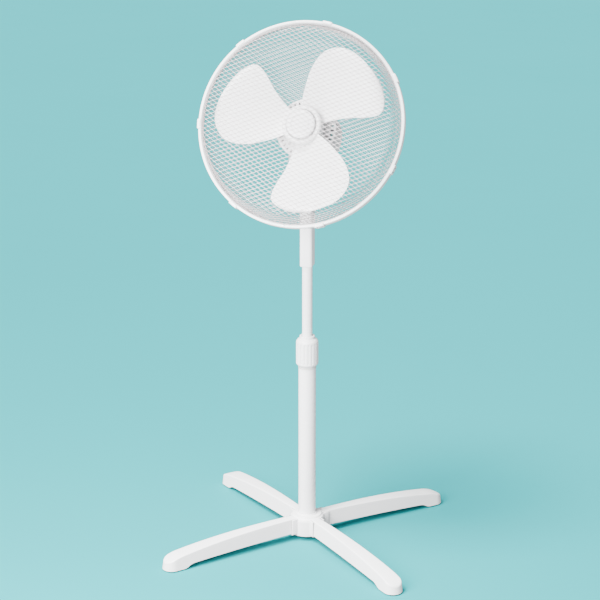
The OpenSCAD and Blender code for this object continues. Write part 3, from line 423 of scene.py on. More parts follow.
WHITE = (0.80, 0.80, 0.81)
M = {
    "white_plastic": plastic("white_plastic", WHITE, 0.34, 0.03, 0.7, coat=0.15),
    "leg_plastic": plastic("leg_plastic", (0.78, 0.78, 0.785), 0.42, 0.10, 1.1, wave=0.05),
    "white_paint": paint("white_paint", (0.81, 0.81, 0.82), 0.28),
    "guard_mesh": paint("guard_mesh", (0.35, 0.32, 0.325), 0.36, 0.08, 0.2, (0.98, 0.92, 0.92)),
    "rim_plastic": plastic("rim_plastic", (0.82, 0.82, 0.825), 0.27, 0.02, 0.6, 0.015, 0.3),
    "blade_plastic": plastic("blade_plastic", (0.81, 0.81, 0.815), 0.33, 0.03, 0.8, 0.015, 0.1, 0.04),
    "motor_plastic": plastic("motor_plastic", (0.78, 0.77, 0.775), 0.5, 0.16, 0.9),
    "inner_plastic": plastic("inner_plastic", (0.62, 0.62, 0.62), 0.5, 0.10, 0.9, warm=0.02),
    "button_grey": plastic("button_grey", (0.42, 0.44, 0.47), 0.42, 0.08, 0.7),
    "dark_plastic": plastic("dark_plastic", (0.03, 0.03, 0.033), 0.5, 0.14, 0.8, 0.15),
    "rubber": rubber("rubber", (0.03, 0.03, 0.032)),
    "steel": metal("steel", (0.60, 0.61, 0.63), 0.34),
    "lamination": wound("lamination", (0.22, 0.22, 0.235), 0.5, (math.radians(66.5), 0, 0)),
    "copper": wound("copper", (0.55, 0.23, 0.10), 0.45, (0, math.radians(90), 0)),
    "bronze": metal("bronze", (0.50, 0.34, 0.15), 0.42, (300, 300, 300), 0.12),
}
SLOT = {s["node"]: s["material_slot"] for s in frame["record"]["subparts"]}
BODY = {n: b for b, nodes in frame["record"]["behaviour"]["bodies"].items() for n in nodes}


def made(name, part, matrix, node, edge=0.0, segments=2, sharp=38, nodes=None):
    """A piece that stands for a CAD node, on its body and with its finish."""
    return piece(name, part, matrix, BODY[node], M[SLOT[node]],
                 [node] if nodes is None else nodes, edge, segments, sharp)


def refined(node, edge, sharp=32, flat=0.6):
    """A CAD node's own shape with its edges eased."""
    source = frame["nodes"][node].data
    mesh = bpy.data.meshes.new(node + "_eased")
    mesh.from_pydata([v.co[:] for v in source.vertices], [], [p.vertices[:] for p in source.polygons])
    bm = bmesh.new()
    bm.from_mesh(mesh)
    bmesh.ops.remove_doubles(bm, verts=bm.verts, dist=0.002 * MM)
    bmesh.ops.dissolve_limit(bm, angle_limit=math.radians(flat), verts=bm.verts, edges=bm.edges)
    bm.to_mesh(mesh)
    bm.free()
    ob = bpy.data.objects.new(node + "_eased", mesh)
    SCENE.collection.objects.link(ob)
    if edge:
        bevel(ob, edge, 2, sharp)
    return settle(ob, BODY[node], M[SLOT[node]], [node], sharp)


# ---------------------------------------------------------------- base
LEG_START, LEG_REACH, LEG_TIP_R = 33.0, 336.3, 20.7
LEG_END = LEG_REACH + LEG_TIP_R
LEG_ROOT_HALF, LEG_FLARE_START = 12.5, 49.0
LEG_TOP, LEG_FALL, NOSE_START, NOSE_FALL = 51.0, 24.0, 316.0, 7.5
LEG_BOTTOM, ARCH_RISE, STEP_START, STEP_LENGTH = 17.0, 9.5, 294.0, 23.0
LEG_WALL, PAD_T, FOOT_START = 2.6, 2.5, 317.0
DRAFT, CROWN = 2.1, 0.9
RIB_T, RIB_GAP, RIB_DROP = 2.0, 3.0, 2.2
LEG_ANGLES = {"front_left": 225, "front_right": 315, "back_left": 135, "back_right": 45}


def leg_half(x):
    """Half the leg's width at a distance from the middle of the base."""
    share = np.clip((x - LEG_FLARE_START) / (LEG_REACH - LEG_FLARE_START), 0, 1)
    return LEG_ROOT_HALF + (LEG_TIP_R - LEG_ROOT_HALF) * share


def leg_top(x):
    """Height of the leg's back, which falls to a rounded nose."""
    t = np.clip((x - LEG_START) / (LEG_END - LEG_START), 0, 1)
    nose = np.clip((x - NOSE_START) / (LEG_END - NOSE_START), 0, 1)
    return LEG_TOP - LEG_FALL * t**2.4 - NOSE_FALL * nose**2


def leg_low(x):
    """Height of the leg's lower edge, which steps down to the foot."""
    t = (x - LEG_START) / (LEG_END - LEG_START)
    step = np.clip((x - STEP_START) / STEP_LENGTH, 0, 1)
    step = step * step * (3 - 2 * step)
    return (LEG_BOTTOM - ARCH_RISE * t * t) * (1 - step) + PAD_T * step


def leg_part():
    """A leg: a channel open underneath, with ribs in it and a sole at its foot."""
    xs = list(np.linspace(LEG_START, 300, 40)) + list(np.linspace(304, 320, 9)) + [326, 331]
    stations = [((x, float(leg_half(x))), (x, 0.0)) for x in xs]
    for a in np.linspace(90, 0, 14):
        r = math.radians(a)
        stations.append(((LEG_REACH + LEG_TIP_R * math.cos(r), LEG_TIP_R * math.sin(r)), (LEG_REACH, 0.0)))
    stations += [((o[0], -o[1]), c) for o, c in stations[-2::-1]]
    points, cols = [], 0
    for o, c in stations:
        o, c = np.array(o), np.array(c)
        wide = np.linalg.norm(c - o)
        inward = (c - o) / wide
        ease = 1.9 + 1.3 * max(0.0, (o[0] - LEG_REACH) / LEG_TIP_R)
        low = float(leg_low(o[0]))

        def at(reach, drop, o=o, inward=inward, wide=wide):
            p = o + inward * reach
            crown = CROWN * (1 - reach / wide) ** 2
            return (p[0], p[1], float(leg_top(p[0])) - crown - drop)

        row = [at(wide, LEG_WALL), at(LEG_WALL + 5, LEG_WALL + 0.3), at(LEG_WALL + DRAFT, LEG_WALL + 3.0)]
        row += [(*(o + inward * LEG_WALL), low + 0.4), (*(o + inward * (LEG_WALL - 0.5)), low)]
        row += [(*(o + inward * 0.5), low), (*o, low + 0.5)]
        wall_top = at(DRAFT, ease)
        for k in (0.35, 0.7):
            row.append(tuple(np.array(row[6]) * (1 - k) + np.array(wall_top) * k))
        for k in range(7):
            a = math.pi / 2 * k / 6
            row.append(at(DRAFT + ease * (1 - math.cos(a)), ease * (1 - math.sin(a))))
        inner = DRAFT + ease
        row += [at(inner + (wide - inner) * k, 0) for k in (0.2, 0.45, 0.72, 1.0)]
        points += row
        cols = len(row)
    rows = len(stations)
    faces = strips(rows, cols)
    faces += [tuple(range(cols)), tuple(range((rows - 1) * cols, rows * cols))[::-1]]
    extra = []
    for x in (110, 170, 230):
        w, top = float(leg_half(x)) - RIB_GAP, float(leg_top(x)) - RIB_DROP
        extra.append(block(x, x + RIB_T, -w, w, float(leg_low(x)) + 2.5, top))
    sole = foot_outline(1.2, FOOT_START - 3)
    extra.append(extrude(sole, PAD_T + 0.02, PAD_T + LEG_WALL))
    w = float(leg_half(NOSE_START)) - RIB_GAP
    top = float(leg_top(NOSE_START)) - RIB_DROP
    extra.append(block(NOSE_START - 1.8, NOSE_START + 0.6, -w, w, PAD_T + 0.5, top))
    return join((points, faces), *extra)


def foot_outline(inset, start, steps=20):
    """The foot's plan from a start to its round tip, drawn in by the inset."""
    r = LEG_TIP_R - inset
    w0 = float(leg_half(start)) - inset
    out = [(start, -w0), (LEG_REACH, -r)]
    out += [(LEG_REACH + r * math.cos(a), r * math.sin(a))
            for a in np.linspace(-math.pi / 2, math.pi / 2, steps + 1)[1:-1]]
    return out + [(LEG_REACH, r), (start, w0)]


def turned(angle):
    """A turn about the stand's or the fan's own axis, in degrees."""
    return Matrix.Rotation(math.radians(angle), 4, "Z")


LEG = leg_part()
for leg_name, leg_angle in LEG_ANGLES.items():
    made("leg_" + leg_name + "_shell", LEG, turned(leg_angle), "leg_" + leg_name, sharp=42)

pad = extrude(rounded(foot_outline(4, FOOT_START + 4), 1.5, True), 0, PAD_T)
treads = [extrude(rounded([(x, -11), (x + 1.6, -11), (x + 1.6, 11), (x, 11)], 0.7, True), 0.0, 0.7)
          for x in (326, 331, 336, 341)]
made("foot_pads_rubber", join(*[moved(join(pad, *treads), turned(a)) for a in LEG_ANGLES.values()]),
     STAND, "foot_pads", 0.35)

hub_profile = rounded(
    [(26, 10.4), (37, 10.9), (37, 44.5), (35.6, 49.2), (32.4, 51.4), (31.2, 54), (22.6, 54), (21.2, 57),
     (18.76, 57), (18.76, 14.1), (14.2, 14.1), (14.2, 12.2), (26, 12.2)],
    [0.5, 0.9, 2.5, 2.5, 0.8, 1.1, 0.7, 0.9, 0.3, 0.3, 0.3, 0.3, 0.3], True)
socket_u = rounded(
    [(-15.15, 14.4), (15.15, 14.4), (15.15, 49.6), (12.6, 50.2), (12.56, 16.6), (-12.56, 16.6),
     (-12.6, 50.2), (-15.15, 49.6)], [2.2, 2.2, 1.0, 0.6, 0.3, 0.3, 0.6, 1.0], True)
sockets = [moved(extrude(socket_u, 30, 47, "X"), turned(a)) for a in LEG_ANGLES.values()]
webs = [moved(block(24, 36.2, -1.1, 1.1, 11.6, 16), turned(a)) for a in range(0, 360, 30)]
made("base_hub_body", join(lathe(hub_profile, 112, True), *sockets, *webs), STAND, "base_hub", 0.45)

# ---------------------------------------------------------------- stand
TUBE_R, TUBE_TOP = 18.7, levels("outer_tube")[1]
INNER_R, COLLAR_R = 11.0, 24.0
INNER_LOW, INNER_TOP = levels("inner_tube")
COLLAR_LOW, COLLAR_TOP = levels("height_collar")
COLLAR_LEN = COLLAR_TOP - COLLAR_LOW
BUSH_LOW, BUSH_TOP = levels("guide_bush")
NECK_LOW = levels("control_housing")[0]


def pipe(bore, radius, low, high, turns):
    """A tube with eased ends."""
    section = [(bore, low), (radius, low), (radius, high), (bore, high)]
    return lathe(rounded(section, 0.4, True), turns, True)


made("outer_tube_pipe", pipe(17.2, TUBE_R, 14, TUBE_TOP, 96), STAND, "outer_tube")
made("inner_tube_pipe", pipe(9.8, INNER_R, INNER_LOW, INNER_TOP, 80), STAND, "inner_tube")
bush_profile = rounded(
    [(11.08, BUSH_LOW), (17.15, BUSH_LOW), (17.15, TUBE_TOP), (18.76, TUBE_TOP), (18.76, TUBE_TOP - 2.5),
     (19.3, TUBE_TOP - 2.5), (19.3, TUBE_TOP + 2), (14.6, TUBE_TOP + 2), (14.6, BUSH_TOP), (11.08, BUSH_TOP)],
    [0.3, 0.3, 0, 0, 0.2, 0.2, 0.5, 0.3, 0.5, 0.5], True)
made("guide_bush_moulding", lathe(bush_profile, 96, True), STAND, "guide_bush")

low_part = [(19.4, 0), (19.9, 0), (20.3, 0.9), (23.1, 3.6), (COLLAR_R, 6)]
top_part = [(COLLAR_R, -14.5), (23.3, -11.5), (21.2, -8.6), (18.0, -6.4), (16.5, -5.4), (16.3, -0.9),
            (15.6, 0), (11.5, 0)]
outer_curve = rounded(low_part, [0, 0.4, 0.4, 1.4, 0], steps=3)
outer_curve += [(COLLAR_R, z) for z in np.linspace(6.6, COLLAR_LEN - 15, 40)]
outer_curve += rounded([(r, COLLAR_LEN + z) for r, z in top_part],
                       [0, 2.5, 2.5, 1.5, 0.5, 0.5, 0.5, 0], steps=3)
bore_curve = [(11.5, COLLAR_LEN - 8), (15.1, COLLAR_LEN - 11), (15.1, 0)]
collar_profile = [(p[0], p[1] + COLLAR_LOW) for p in outer_curve + bore_curve]
GROOVES, GROOVE_HALF, GROOVE_DEPTH = 18, 1.7, 1.3


def collar_shape(a, r, z):
    """Grip grooves with rounded ends."""
    local = z - COLLAR_LOW
    if r < 22 or not 6.5 < local < COLLAR_LEN - 12:
        return r
    pitch = 2 * math.pi / GROOVES
    off = abs((a / pitch) % 1 - 0.5) * pitch * COLLAR_R
    ends = min(local - 8.5, COLLAR_LEN - 16.5 - local)
    if ends < 0:
        off = math.hypot(off, -ends)
    across = off / GROOVE_HALF
    return r - (GROOVE_DEPTH * math.sqrt(1 - across * across) if across < 1 else 0.0)


made("height_collar_grip", lathe(collar_profile, GROOVES * 24, True, collar_shape), STAND,
     "height_collar", sharp=42)

# ---------------------------------------------------------------- neck and controls
FRONT = -25.0
HOUSE_W, HOUSE_D, HOUSE_R = 62.0, 50.0, 9.0
KEY_PITCH, KEY_Z = 12.0, 783.0
heights = [744, 749, 754, 760, 766, 770]
widths = [27, 30.5, 41.5, 54.5, 61, 62]
depths = [33, 34.2, 38.4, 44.2, 49.2, 50]
corners = [6, 6.4, 7.6, 8.8, 9, 9]
rings = [rounded_rectangle(25.0, 31.0, 5.2, NECK_LOW), rounded_rectangle(26.2, 32.2, 5.7, NECK_LOW + 0.35),
         rounded_rectangle(26.8, 32.8, 5.9, NECK_LOW + 1.0), rounded_rectangle(27, 33, 6, NECK_LOW + 2.0)]
rings += [rounded_rectangle(27, 33, 6, z) for z in (645, 680, 715, 740)]
for z in np.linspace(744, 770, 14):
    rings.append(rounded_rectangle(float(through(heights, widths, z)), float(through(heights, depths, z)),
                                   float(through(heights, corners, z)), float(z)))
rings += [rounded_rectangle(HOUSE_W, HOUSE_D, HOUSE_R, 790)]
for k in range(1, 9):
    t = k / 8
    slope = 8 * t**1.3
    rings.append(rounded_rectangle(HOUSE_W - slope, HOUSE_D - slope, HOUSE_R, 793 + 11 * t))
rings += [rounded_rectangle(53, 41, 8.5, 805.2), rounded_rectangle(51, 39, 7.8, 805.9),
          rounded_rectangle(48, 36, 6.5, 806)]
HOUSING = loft(rings)
BACK_BOX = block(-60, 60, 17.15, 60, 757.1, 830)
ear = [(-10, 802)] + [(-10.9, 815)] + [(11 * math.cos(a), PIVOT_Z + 11 * math.sin(a))
                                      for a in np.linspace(math.pi, 0, 20)] + [(10.9, 815), (10, 802)]
house = raw("control_housing_shell", HOUSING)
cut(house, block(-60, 60, 16.85, 60, 756.8, 830))
for k in range(4):
    x, half_w, half_h = (k - 1.5) * KEY_PITCH, 5.35, 7.35
    window = [(x - half_w, KEY_Z - half_h), (x + half_w, KEY_Z - half_h),
              (x + half_w, KEY_Z + half_h), (x - half_w, KEY_Z + half_h)]
    cut(house, extrude(rounded(window, 1.6, True), -40, -14, "Y"))
bevel(house, 0.35, 2, 40)
settle(house, "mast", M["white_plastic"], ["control_housing"])
ears = join(extrude(ear, -16.9, -9.4, "X"), extrude(ear, 9.4, 16.9, "X"))
piece("control_housing_ears", ears, STAND, "mast", M["white_plastic"],
      edge=1.1, segments=3)

back = raw("housing_back_cover", HOUSING)
cut(back, BACK_BOX, keep="INTERSECT")
for k in range(4):
    low = 781 + 5 * k
    slot = [(-10, low), (10, low), (10, low + 2), (-10, low + 2)]
    cut(back, extrude(rounded(slot, 0.9, True), 14, 40, "Y"))
for x in (-23.5, 23.5):
    for z in (766, 798):
        cut(back, moved(lathe([(0, 0), (3.0, 0), (3.0, 12), (0, 12)], 28),
                        Matrix.Translation((x, 21.2, z)) @ Matrix.Rotation(-math.pi / 2, 4, "X")))
bevel(back, 0.35, 2, 40)
settle(back, "mast", M["white_plastic"], ["housing_back"])


def key(x):
    """A push button: rounded cap with a shallow finger hollow, on its stem."""
    nx, nz = 12, 16
    front, back_y = FRONT - 5.0, FRONT + 6.0
    points = []
    for i in range(nx + 1):
        for j in range(nz + 1):
            u, v = 2 * i / nx - 1, 2 * j / nz - 1
            hollow = 0.7 * max(0.0, 1 - (u / 0.85) ** 2) * max(0.0, 1 - (v / 0.9) ** 2)
            points.append((x + 4.6 * u, front + hollow, KEY_Z + 6.6 * v))
    cap = [(i, 0) for i in range(nx + 1)] + [(nx, j) for j in range(1, nz + 1)]
    cap += [(i, nz) for i in range(nx - 1, -1, -1)] + [(0, j) for j in range(nz - 1, 0, -1)]
    faces = strips(nx + 1, nz + 1)
    rim = [i * (nz + 1) + j for i, j in cap]
    base = [rim]
    for w, h, y in ((5.0, 7.0, front + 0.55), (5.0, 7.0, back_y)):
        ring = []
        for i, j in cap:
            u, v = 2 * i / nx - 1, 2 * j / nz - 1
            ring.append(len(points))
            points.append((x + w * u, y, KEY_Z + h * v))
        base.append(ring)
    for a, b in zip(base, base[1:]):
        for k in range(len(a)):
            m = (k + 1) % len(a)
            faces.append((a[k], a[m], b[m], b[k]))
    faces.append(tuple(base[-1]))
    stem = block(x - 2, x + 2, back_y - 0.6, FRONT + 21, KEY_Z - 4, KEY_Z + 4)
    return join((points, faces), stem)


for k, key_name in enumerate(("off", "low", "medium", "high")):
    made("button_" + key_name + "_cap", key((k - 1.5) * KEY_PITCH), STAND, "button_" + key_name, 0.45, 3, 50)


def fluted(count, depth, wide, start, end):
    """A lathe shape with count round flutes between two heights."""
    def shape(a, r, z):
        if z < start or z > end or r < 2:
            return r
        pitch = 2 * math.pi / count
        off = abs(((a / pitch) + 0.5) % 1 - 0.5) * pitch / wide
        return r - (depth * math.cos(math.pi / 2 * off) if off < 1 else 0.0)
    return shape


screw_profile = [(0, 0), (2, 0), (2, 6.5), (4.8, 6.5)]
screw_profile += rounded([(4.8, 6.5), (6, 6.9), (6, 14.2), (5.2, 14.9), (0, 14.9)],
                         [0, 0.4, 0.8, 0.6, 0], steps=3)
made("neck_screw_thumb", lathe(screw_profile, 96, False, fluted(8, 0.8, 0.30, 7.2, 16)),
     Matrix.Translation((0, INNER_R, NECK_LOW + 78)) @ Matrix.Rotation(-math.pi / 2, 4, "X"),
     "neck_screw", sharp=50)

# ---------------------------------------------------------------- tilt joint
knob_points = [(4.1, 0), (7.2, 0), (7.2, 4)]
knob_points += rounded([(7.2, 4), (10.2, 4), (11.2, 5.2), (11.2, 15.4), (10.2, 17.4), (8.4, 18), (0, 18)],
                       [0, 1, 0.8, 1.5, 1.0, 0.6, 0], steps=4)[1:]
knob_points += [(0, 15), (4.1, 15)]
made("tilt_knob_grip", lathe(knob_points, 160, True, fluted(8, 1.9, 0.30, 4.6, 17.2)),
     Matrix.Translation((17.4, 0, PIVOT_Z)) @ Matrix.Rotation(math.pi / 2, 4, "Y"), "tilt_knob", sharp=50)

cup_section = [(5.06, 11.5), (37, 11.9), (41, 13.0), (41, 15.8), (39.8, 17), (11, 17), (10, 20),
               (5.06, 20)]
cup = lathe(rounded(cup_section, [0, 2, 1.2, 0.8, 0.8, 0.5, 0.5, 0.3], True), 96, True)
LUG_R = 11.5
lug = [(-LUG_R, 13)]
lug += [(LUG_R * math.cos(a), LUG_R * math.sin(a)) for a in np.linspace(math.pi, 2 * math.pi, 26)]
lug += [(LUG_R, 13)]
made("tilt_bracket_cup", join(cup, extrude(lug, -9, 9, "X")), HEAD, "tilt_bracket", 0.7, 3)

# ---------------------------------------------------------------- motor
SPINDLE_X, SPINDLE_S = 18.2, -27.0
knob_at = HEAD @ Matrix.Translation((SPINDLE_X, -SPINDLE_S, 0))
swing = [(0, 90.3), (3, 90.3), (3, 146.2)] + rounded(
    [(3, 146.2), (6.4, 146.2), (7, 146.8), (7, 155.0), (5.9, 155.6), (5.9, 156.6), (7, 157.1), (7, 158.3),
     (6.0, 159.6), (0, 159.9)], [0, 0.5, 0.4, 0.4, 0.2, 0.2, 0.4, 0.5, 1.0, 0], steps=3)[1:]
made("oscillation_knob_pull", lathe(swing, 96, False, fluted(24, 0.35, 0.09, 147.4, 154.6)), knob_at,
     "oscillation_knob", sharp=50)
for node, edge in (("motor_rear_cover", 0.45), ("motor_front_cover", 0.35), ("guard_centre_plate", 0.35),
                   ("guard_lock_nut", 0.5), ("cord_gland", 0.4), ("base_nut", 0.4), ("leg_screws", 0.3),
                   ("housing_screws", 0.25), ("tilt_nut", 0.4), ("tilt_bolt", 0.3), ("rim_screw", 0.25),
                   ("guide_plug", 0.3), ("swivel_post", 0.2)):
    refined(node, edge)

# ---------------------------------------------------------------- blades
BLADE_R, BLADE_T, BLADE_PHASE = 181.0, 2.2, 5.0
BLADE_S, BLADE_RAKE, RISE_ROOT, RISE_TIP, BLADE_CAMBER = 81.0, 16.0, 17.5, 7.2, 2.3
EDGE_STEPS = np.array([0, 0.12, 0.4, 0.9, 1.6])  # distances from an edge, over which the blade thins
# share of the radius, and the angles of the leading and trailing edge there
OUTLINE = np.array([
    [0.214, 7, 89.5], [0.300, 7.6, 87.4], [0.410, 8.3, 84.4], [0.545, 7.5, 81.4], [0.680, 5.6, 78.1],
    [0.790, 5.0, 74.4], [0.870, 5.6, 70.6], [0.925, 8, 66.2], [0.962, 13, 61.6], [0.987, 19.5, 56.5],
    [1, 28, 49]])


def blade():
    """One broad blade, thin at its edges, with a rounded outline."""
    table = OUTLINE[::-1]
    w_table = np.sqrt(1 - table[:, 0])
    tips = np.sqrt(EDGE_STEPS / BLADE_R)
    ws = np.concatenate([tips, np.linspace(tips[-1], w_table[-1], 46)[1:]])
    top, bottom = [], []
    for w in ws:
        q = 1 - w * w
        lead, trail = float(through(w_table, table[:, 1], w)), float(through(w_table, table[:, 2], w))
        chord = math.radians(trail - lead) * q * BLADE_R
        edge_u = EDGE_STEPS / chord
        us = np.concatenate([edge_u, np.linspace(edge_u[-1], 1 - edge_u[-1], 34)[1:-1], (1 - edge_u)[::-1]])
        reach = BLADE_R * w * w
        for u in us:
            side = min(u, 1 - u) * chord
            gap = min(side, reach)
            half = BLADE_T / 2 * math.sqrt(max(0.0, 1 - (1 - min(gap / EDGE_STEPS[-1], 1)) ** 2))
            a = math.radians(BLADE_PHASE + lead + (trail - lead) * u)
            s = BLADE_S + BLADE_RAKE * q + (u - 0.5) * (RISE_ROOT + RISE_TIP * q)
            s += BLADE_CAMBER * (1 - (2 * u - 1) ** 2) * q
            x, y = BLADE_R * q * math.cos(a), BLADE_R * q * math.sin(a)
            top.append((x, y, s + half))
            bottom.append((x, y, s - half))
    rows, cols = len(ws), len(top) // len(ws)
    points = top + bottom
    faces = strips(rows, cols)
    faces += [tuple(reversed(f)) for f in strips(rows, cols, start=rows * cols)]
    root = (rows - 1) * cols
    faces += [(root + j, root + j + 1, rows * cols + root + j + 1, rows * cols + root + j)
              for j in range(cols - 1)]
    return points, faces


hub = rounded([(38.5, 62), (41, 62), (41, 94.5), (37.6, 98), (31.9, 98), (31.9, 95), (5, 95), (4.1, 95),
               (4.1, 63), (9, 63), (9, 93.4), (38.5, 93.4)],
              [0.5, 0.6, 2.2, 2.2, 0.6, 0.2, 0, 0, 0.3, 0.5, 0.5, 0.8], True)
spokes = [moved(block(8, 39.5, -1, 1, 68, 94), turned(a)) for a in range(0, 360, 60)]
three = [moved(blade(), turned(a)) for a in (0, 120, 240)]
made("fan_blades_moulding", join(lathe(hub, 120, True), *spokes, *three), AXIS, "fan_blades", sharp=48)

nut_side = [(30.4, float(s)) for s in np.linspace(96.2, 102.6, 10)]
nut_face = rounded([(30.4, 102.6), (29.6, 104.6), (26.6, 105.9), (21.5, 106.8), (19.5, 106.9), (19.1, 106.1),
                    (18.3, 106.1), (17.9, 107.0), (10, 107.3), (0, 107.4)],
                   [0, 1.2, 2.5, 3, 0.3, 0.2, 0.2, 0.3, 4, 0], steps=4)
nut_profile = [(4.1, 96), (29.9, 96)] + nut_side + nut_face[1:] + [(0, 103), (4.1, 103)]
made("blade_nut_cap", lathe(nut_profile, 24 * 16, True, fluted(24, 2.0, 0.07, 96.6, 104.4)), AXIS,
     "blade_nut", sharp=55)

# ---------------------------------------------------------------- guard
CELL_A, CELL_B = np.array([7.855, -5.57]), np.array([8.59, 3.51])
STRAND, SHEET = 0.74, 0.8


def sheet_path(corners, radii):
    """Distance along the section, radius and place on the axis of a dished sheet."""
    line = np.array(rounded(corners, radii, steps=8))
    along = np.concatenate([[0], np.cumsum(np.hypot(*np.diff(line, axis=0).T))]) + line[0][0]
    return along, line[:, 0], line[:, 1]


def on_sheet(path, flat, lift):
    """Puts points of the flat sheet on the dished one, lifted along its normal."""
    along, radius, depth = path
    rho = np.hypot(flat[:, 0], flat[:, 1])
    rho = np.clip(rho, along[0], along[-1])
    way = flat / np.maximum(np.hypot(flat[:, 0], flat[:, 1]), 1e-9)[:, None]
    step = 0.4
    r, s = np.interp(rho, along, radius), np.interp(rho, along, depth)
    r1, s1 = np.interp(rho - step, along, radius), np.interp(rho - step, along, depth)
    r2, s2 = np.interp(rho + step, along, radius), np.interp(rho + step, along, depth)
    dr, ds = r2 - r1, s2 - s1
    size = np.maximum(np.hypot(dr, ds), 1e-9)
    r, s = r - lift * ds / size, s + lift * dr / size
    return np.column_stack([way[:, 0] * r, way[:, 1] * r, s])


def diamond_sheet(path, origin):
    """An open sheet of diamonds: each cell is a ring of flat strands round its hole."""
    inner, outer = path[0][0], path[0][-1]
    skew = CELL_A[0] * CELL_B[1] - CELL_A[1] * CELL_B[0]
    reach = int(outer / 6) + 4
    corner_id, flat, rings_of = {}, [], []

    def corner(i, j):
        if (i, j) not in corner_id:
            corner_id[i, j] = len(flat)
            flat.append(origin + i * CELL_A + j * CELL_B)
        return corner_id[i, j]

    ua, ub = CELL_A / np.linalg.norm(CELL_A), CELL_B / np.linalg.norm(CELL_B)
    inset = STRAND / 2 / (skew / np.linalg.norm(CELL_A) / np.linalg.norm(CELL_B))
    sharp_cut, blunt_cut = 1.5, 0.9
    for i in range(-reach, reach):
        for j in range(-reach, reach):
            p = origin + i * CELL_A + j * CELL_B
            rho = np.hypot(*(p + (CELL_A + CELL_B) / 2))
            if not (inner + 0.5 < rho < outer - 0.5):
                continue
            ids = [corner(i, j), corner(i + 1, j), corner(i + 1, j + 1), corner(i, j + 1)]
            q = [p + (ua + ub) * inset, p + CELL_A + (ub - ua) * inset,
                 p + CELL_A + CELL_B - (ua + ub) * inset, p + CELL_B + (ua - ub) * inset]
            hole = [q[0] + ub * sharp_cut, q[0] + ua * sharp_cut,
                    q[1] - ua * blunt_cut, q[1] + ub * blunt_cut,
                    q[2] - ub * sharp_cut, q[2] - ua * sharp_cut,
                    q[3] + ua * blunt_cut, q[3] - ub * blunt_cut]
            first = len(flat)
            flat.extend(hole)
            rings_of.append((ids, list(range(first, first + 8))))
    flat = np.array(flat)
    count = len(flat)
    top, bottom = on_sheet(path, flat, SHEET / 2), on_sheet(path, flat, -SHEET / 2)
    faces = []
    used = {}
    for ids, h in rings_of:
        ring = []
        for k in range(4):
            a, b = ids[k], ids[(k + 1) % 4]
            ring.append((a, h[2 * k], h[2 * k + 1]))
            ring.append((a, h[2 * k + 1], h[(2 * k + 2) % 8], b))
            used[a, b] = used.get((a, b), 0) + 1
        for face in ring:
            faces.append(face)
            faces.append(tuple(v + count for v in reversed(face)))
        for k in range(8):
            a, b = h[k], h[(k + 1) % 8]
            faces.append((b, a, a + count, b + count))
    for (a, b) in list(used):
        if (b, a) not in used:
            faces.append((a, b, b + count, a + count))
    return np.vstack([top, bottom]).tolist(), faces


def hem(path, start, end):
    """A plain strip along part of the section, which closes the sheet's edge."""
    rhos = np.linspace(start, end, 5)
    flat = np.column_stack([rhos, np.zeros(5)])
    top, low = on_sheet(path, flat, SHEET / 2 + 0.05), on_sheet(path, flat, -SHEET / 2 - 0.05)
    return lathe([(p[0], p[2]) for p in top] + [(p[0], p[2]) for p in low[::-1]], 180, True)


front_path = sheet_path([(0, 141), (98, 140.4), (190, 138.6), (196, 134.8), (205.6, 98.6), (208.4, 98.5)],
                        [0, 60, 9, 5, 1.5, 0])
rear_path = sheet_path([(60.4, 44.7), (165, 44.7), (185, 49.2), (197, 57.8), (204, 68.8), (206.2, 95.3),
                        (208.4, 95.4)], [0, 30, 16, 14, 20, 1.5, 0])
front_sheet = join(diamond_sheet(front_path, np.array([1.9, 0.7])),
                   hem(front_path, front_path[0][-1] - 2.2, front_path[0][-1]))
made("front_guard_mesh", front_sheet, AXIS, "front_guard", sharp=50)
rear_sheet = join(diamond_sheet(rear_path, np.array([3.0, -0.7])),
                  hem(rear_path, rear_path[0][0], rear_path[0][0] + 3.2),
                  hem(rear_path, rear_path[0][-1] - 2.2, rear_path[0][-1]))
made("rear_guard_mesh", rear_sheet, AXIS, "rear_guard", sharp=50)

rim_outline = rounded(
    [(206.9, -9), (215, -9), (215, 9), (209.5, 9), (206.9, 2.9), (206.9, 2.4), (209.3, 2.4),
     (209.3, -2.4), (206.9, -2.4)], [1.4, 3.0, 3.0, 1.2, 0.2, 0.2, 0.2, 0.2, 0.4], True, 5)
rim_section = [(r, s + RIM_S) for r, s in rim_outline]
made("guard_rim_ring", lathe(rim_section, 288, True), AXIS, "guard_rim", sharp=45)
CLIP_COUNT, CLIP_START = 7, 28.7


def clip():
    """A snap clip over the rim, with two slots in its back."""
    sides = [-10, -8.8, -5.6, -5.5, -3.5, -3.4, 0, 3.4, 3.5, 5.5, 5.6, 8.8, 10]
    points = []
    for y in sides:
        a = y / 216.0
        slot = 3.5 <= abs(y) <= 5.5
        end = 0.7 if abs(y) > 9.5 else 0.0
        back = 217.1 - end
        deep = 215.5 if slot else back
        hook = 211.0 + end
        row = [(215.08, -9.1), (hook, -9.1), (hook, -10.5 + end), (214.6, -10.5 + end), (back, -9.0 + end),
               (back, -6.6), (deep, -6.5), (deep, 6.5), (back, 6.6), (back, 9.0 - end),
               (214.6, 10.5 - end), (hook, 10.5 - end), (hook, 9.1), (215.08, 9.1)]
        points += [(r * math.cos(a), r * math.sin(a), s + RIM_S) for r, s in row]
    cols = 14
    faces = strips(len(sides), cols, False, True)
    faces += [tuple(range(cols))[::-1], tuple(range((len(sides) - 1) * cols, len(sides) * cols))]
    return points, faces


clips = join(*[moved(clip(), turned(CLIP_START + k * 360 / CLIP_COUNT)) for k in range(CLIP_COUNT)])
made("rim_clips_snap", clips, AXIS, "rim_clips", 0.3, 2, 40)

# ---------------------------------------------------------------- the CAD nodes that stay
for name, node in frame["nodes"].items():
    if not node.hide_render:
        node.data.materials.clear()
        node.data.materials.append(M[SLOT[name]])
        node.data.shade_smooth()
        node.data.set_sharp_from_angle(angle=math.radians(32))

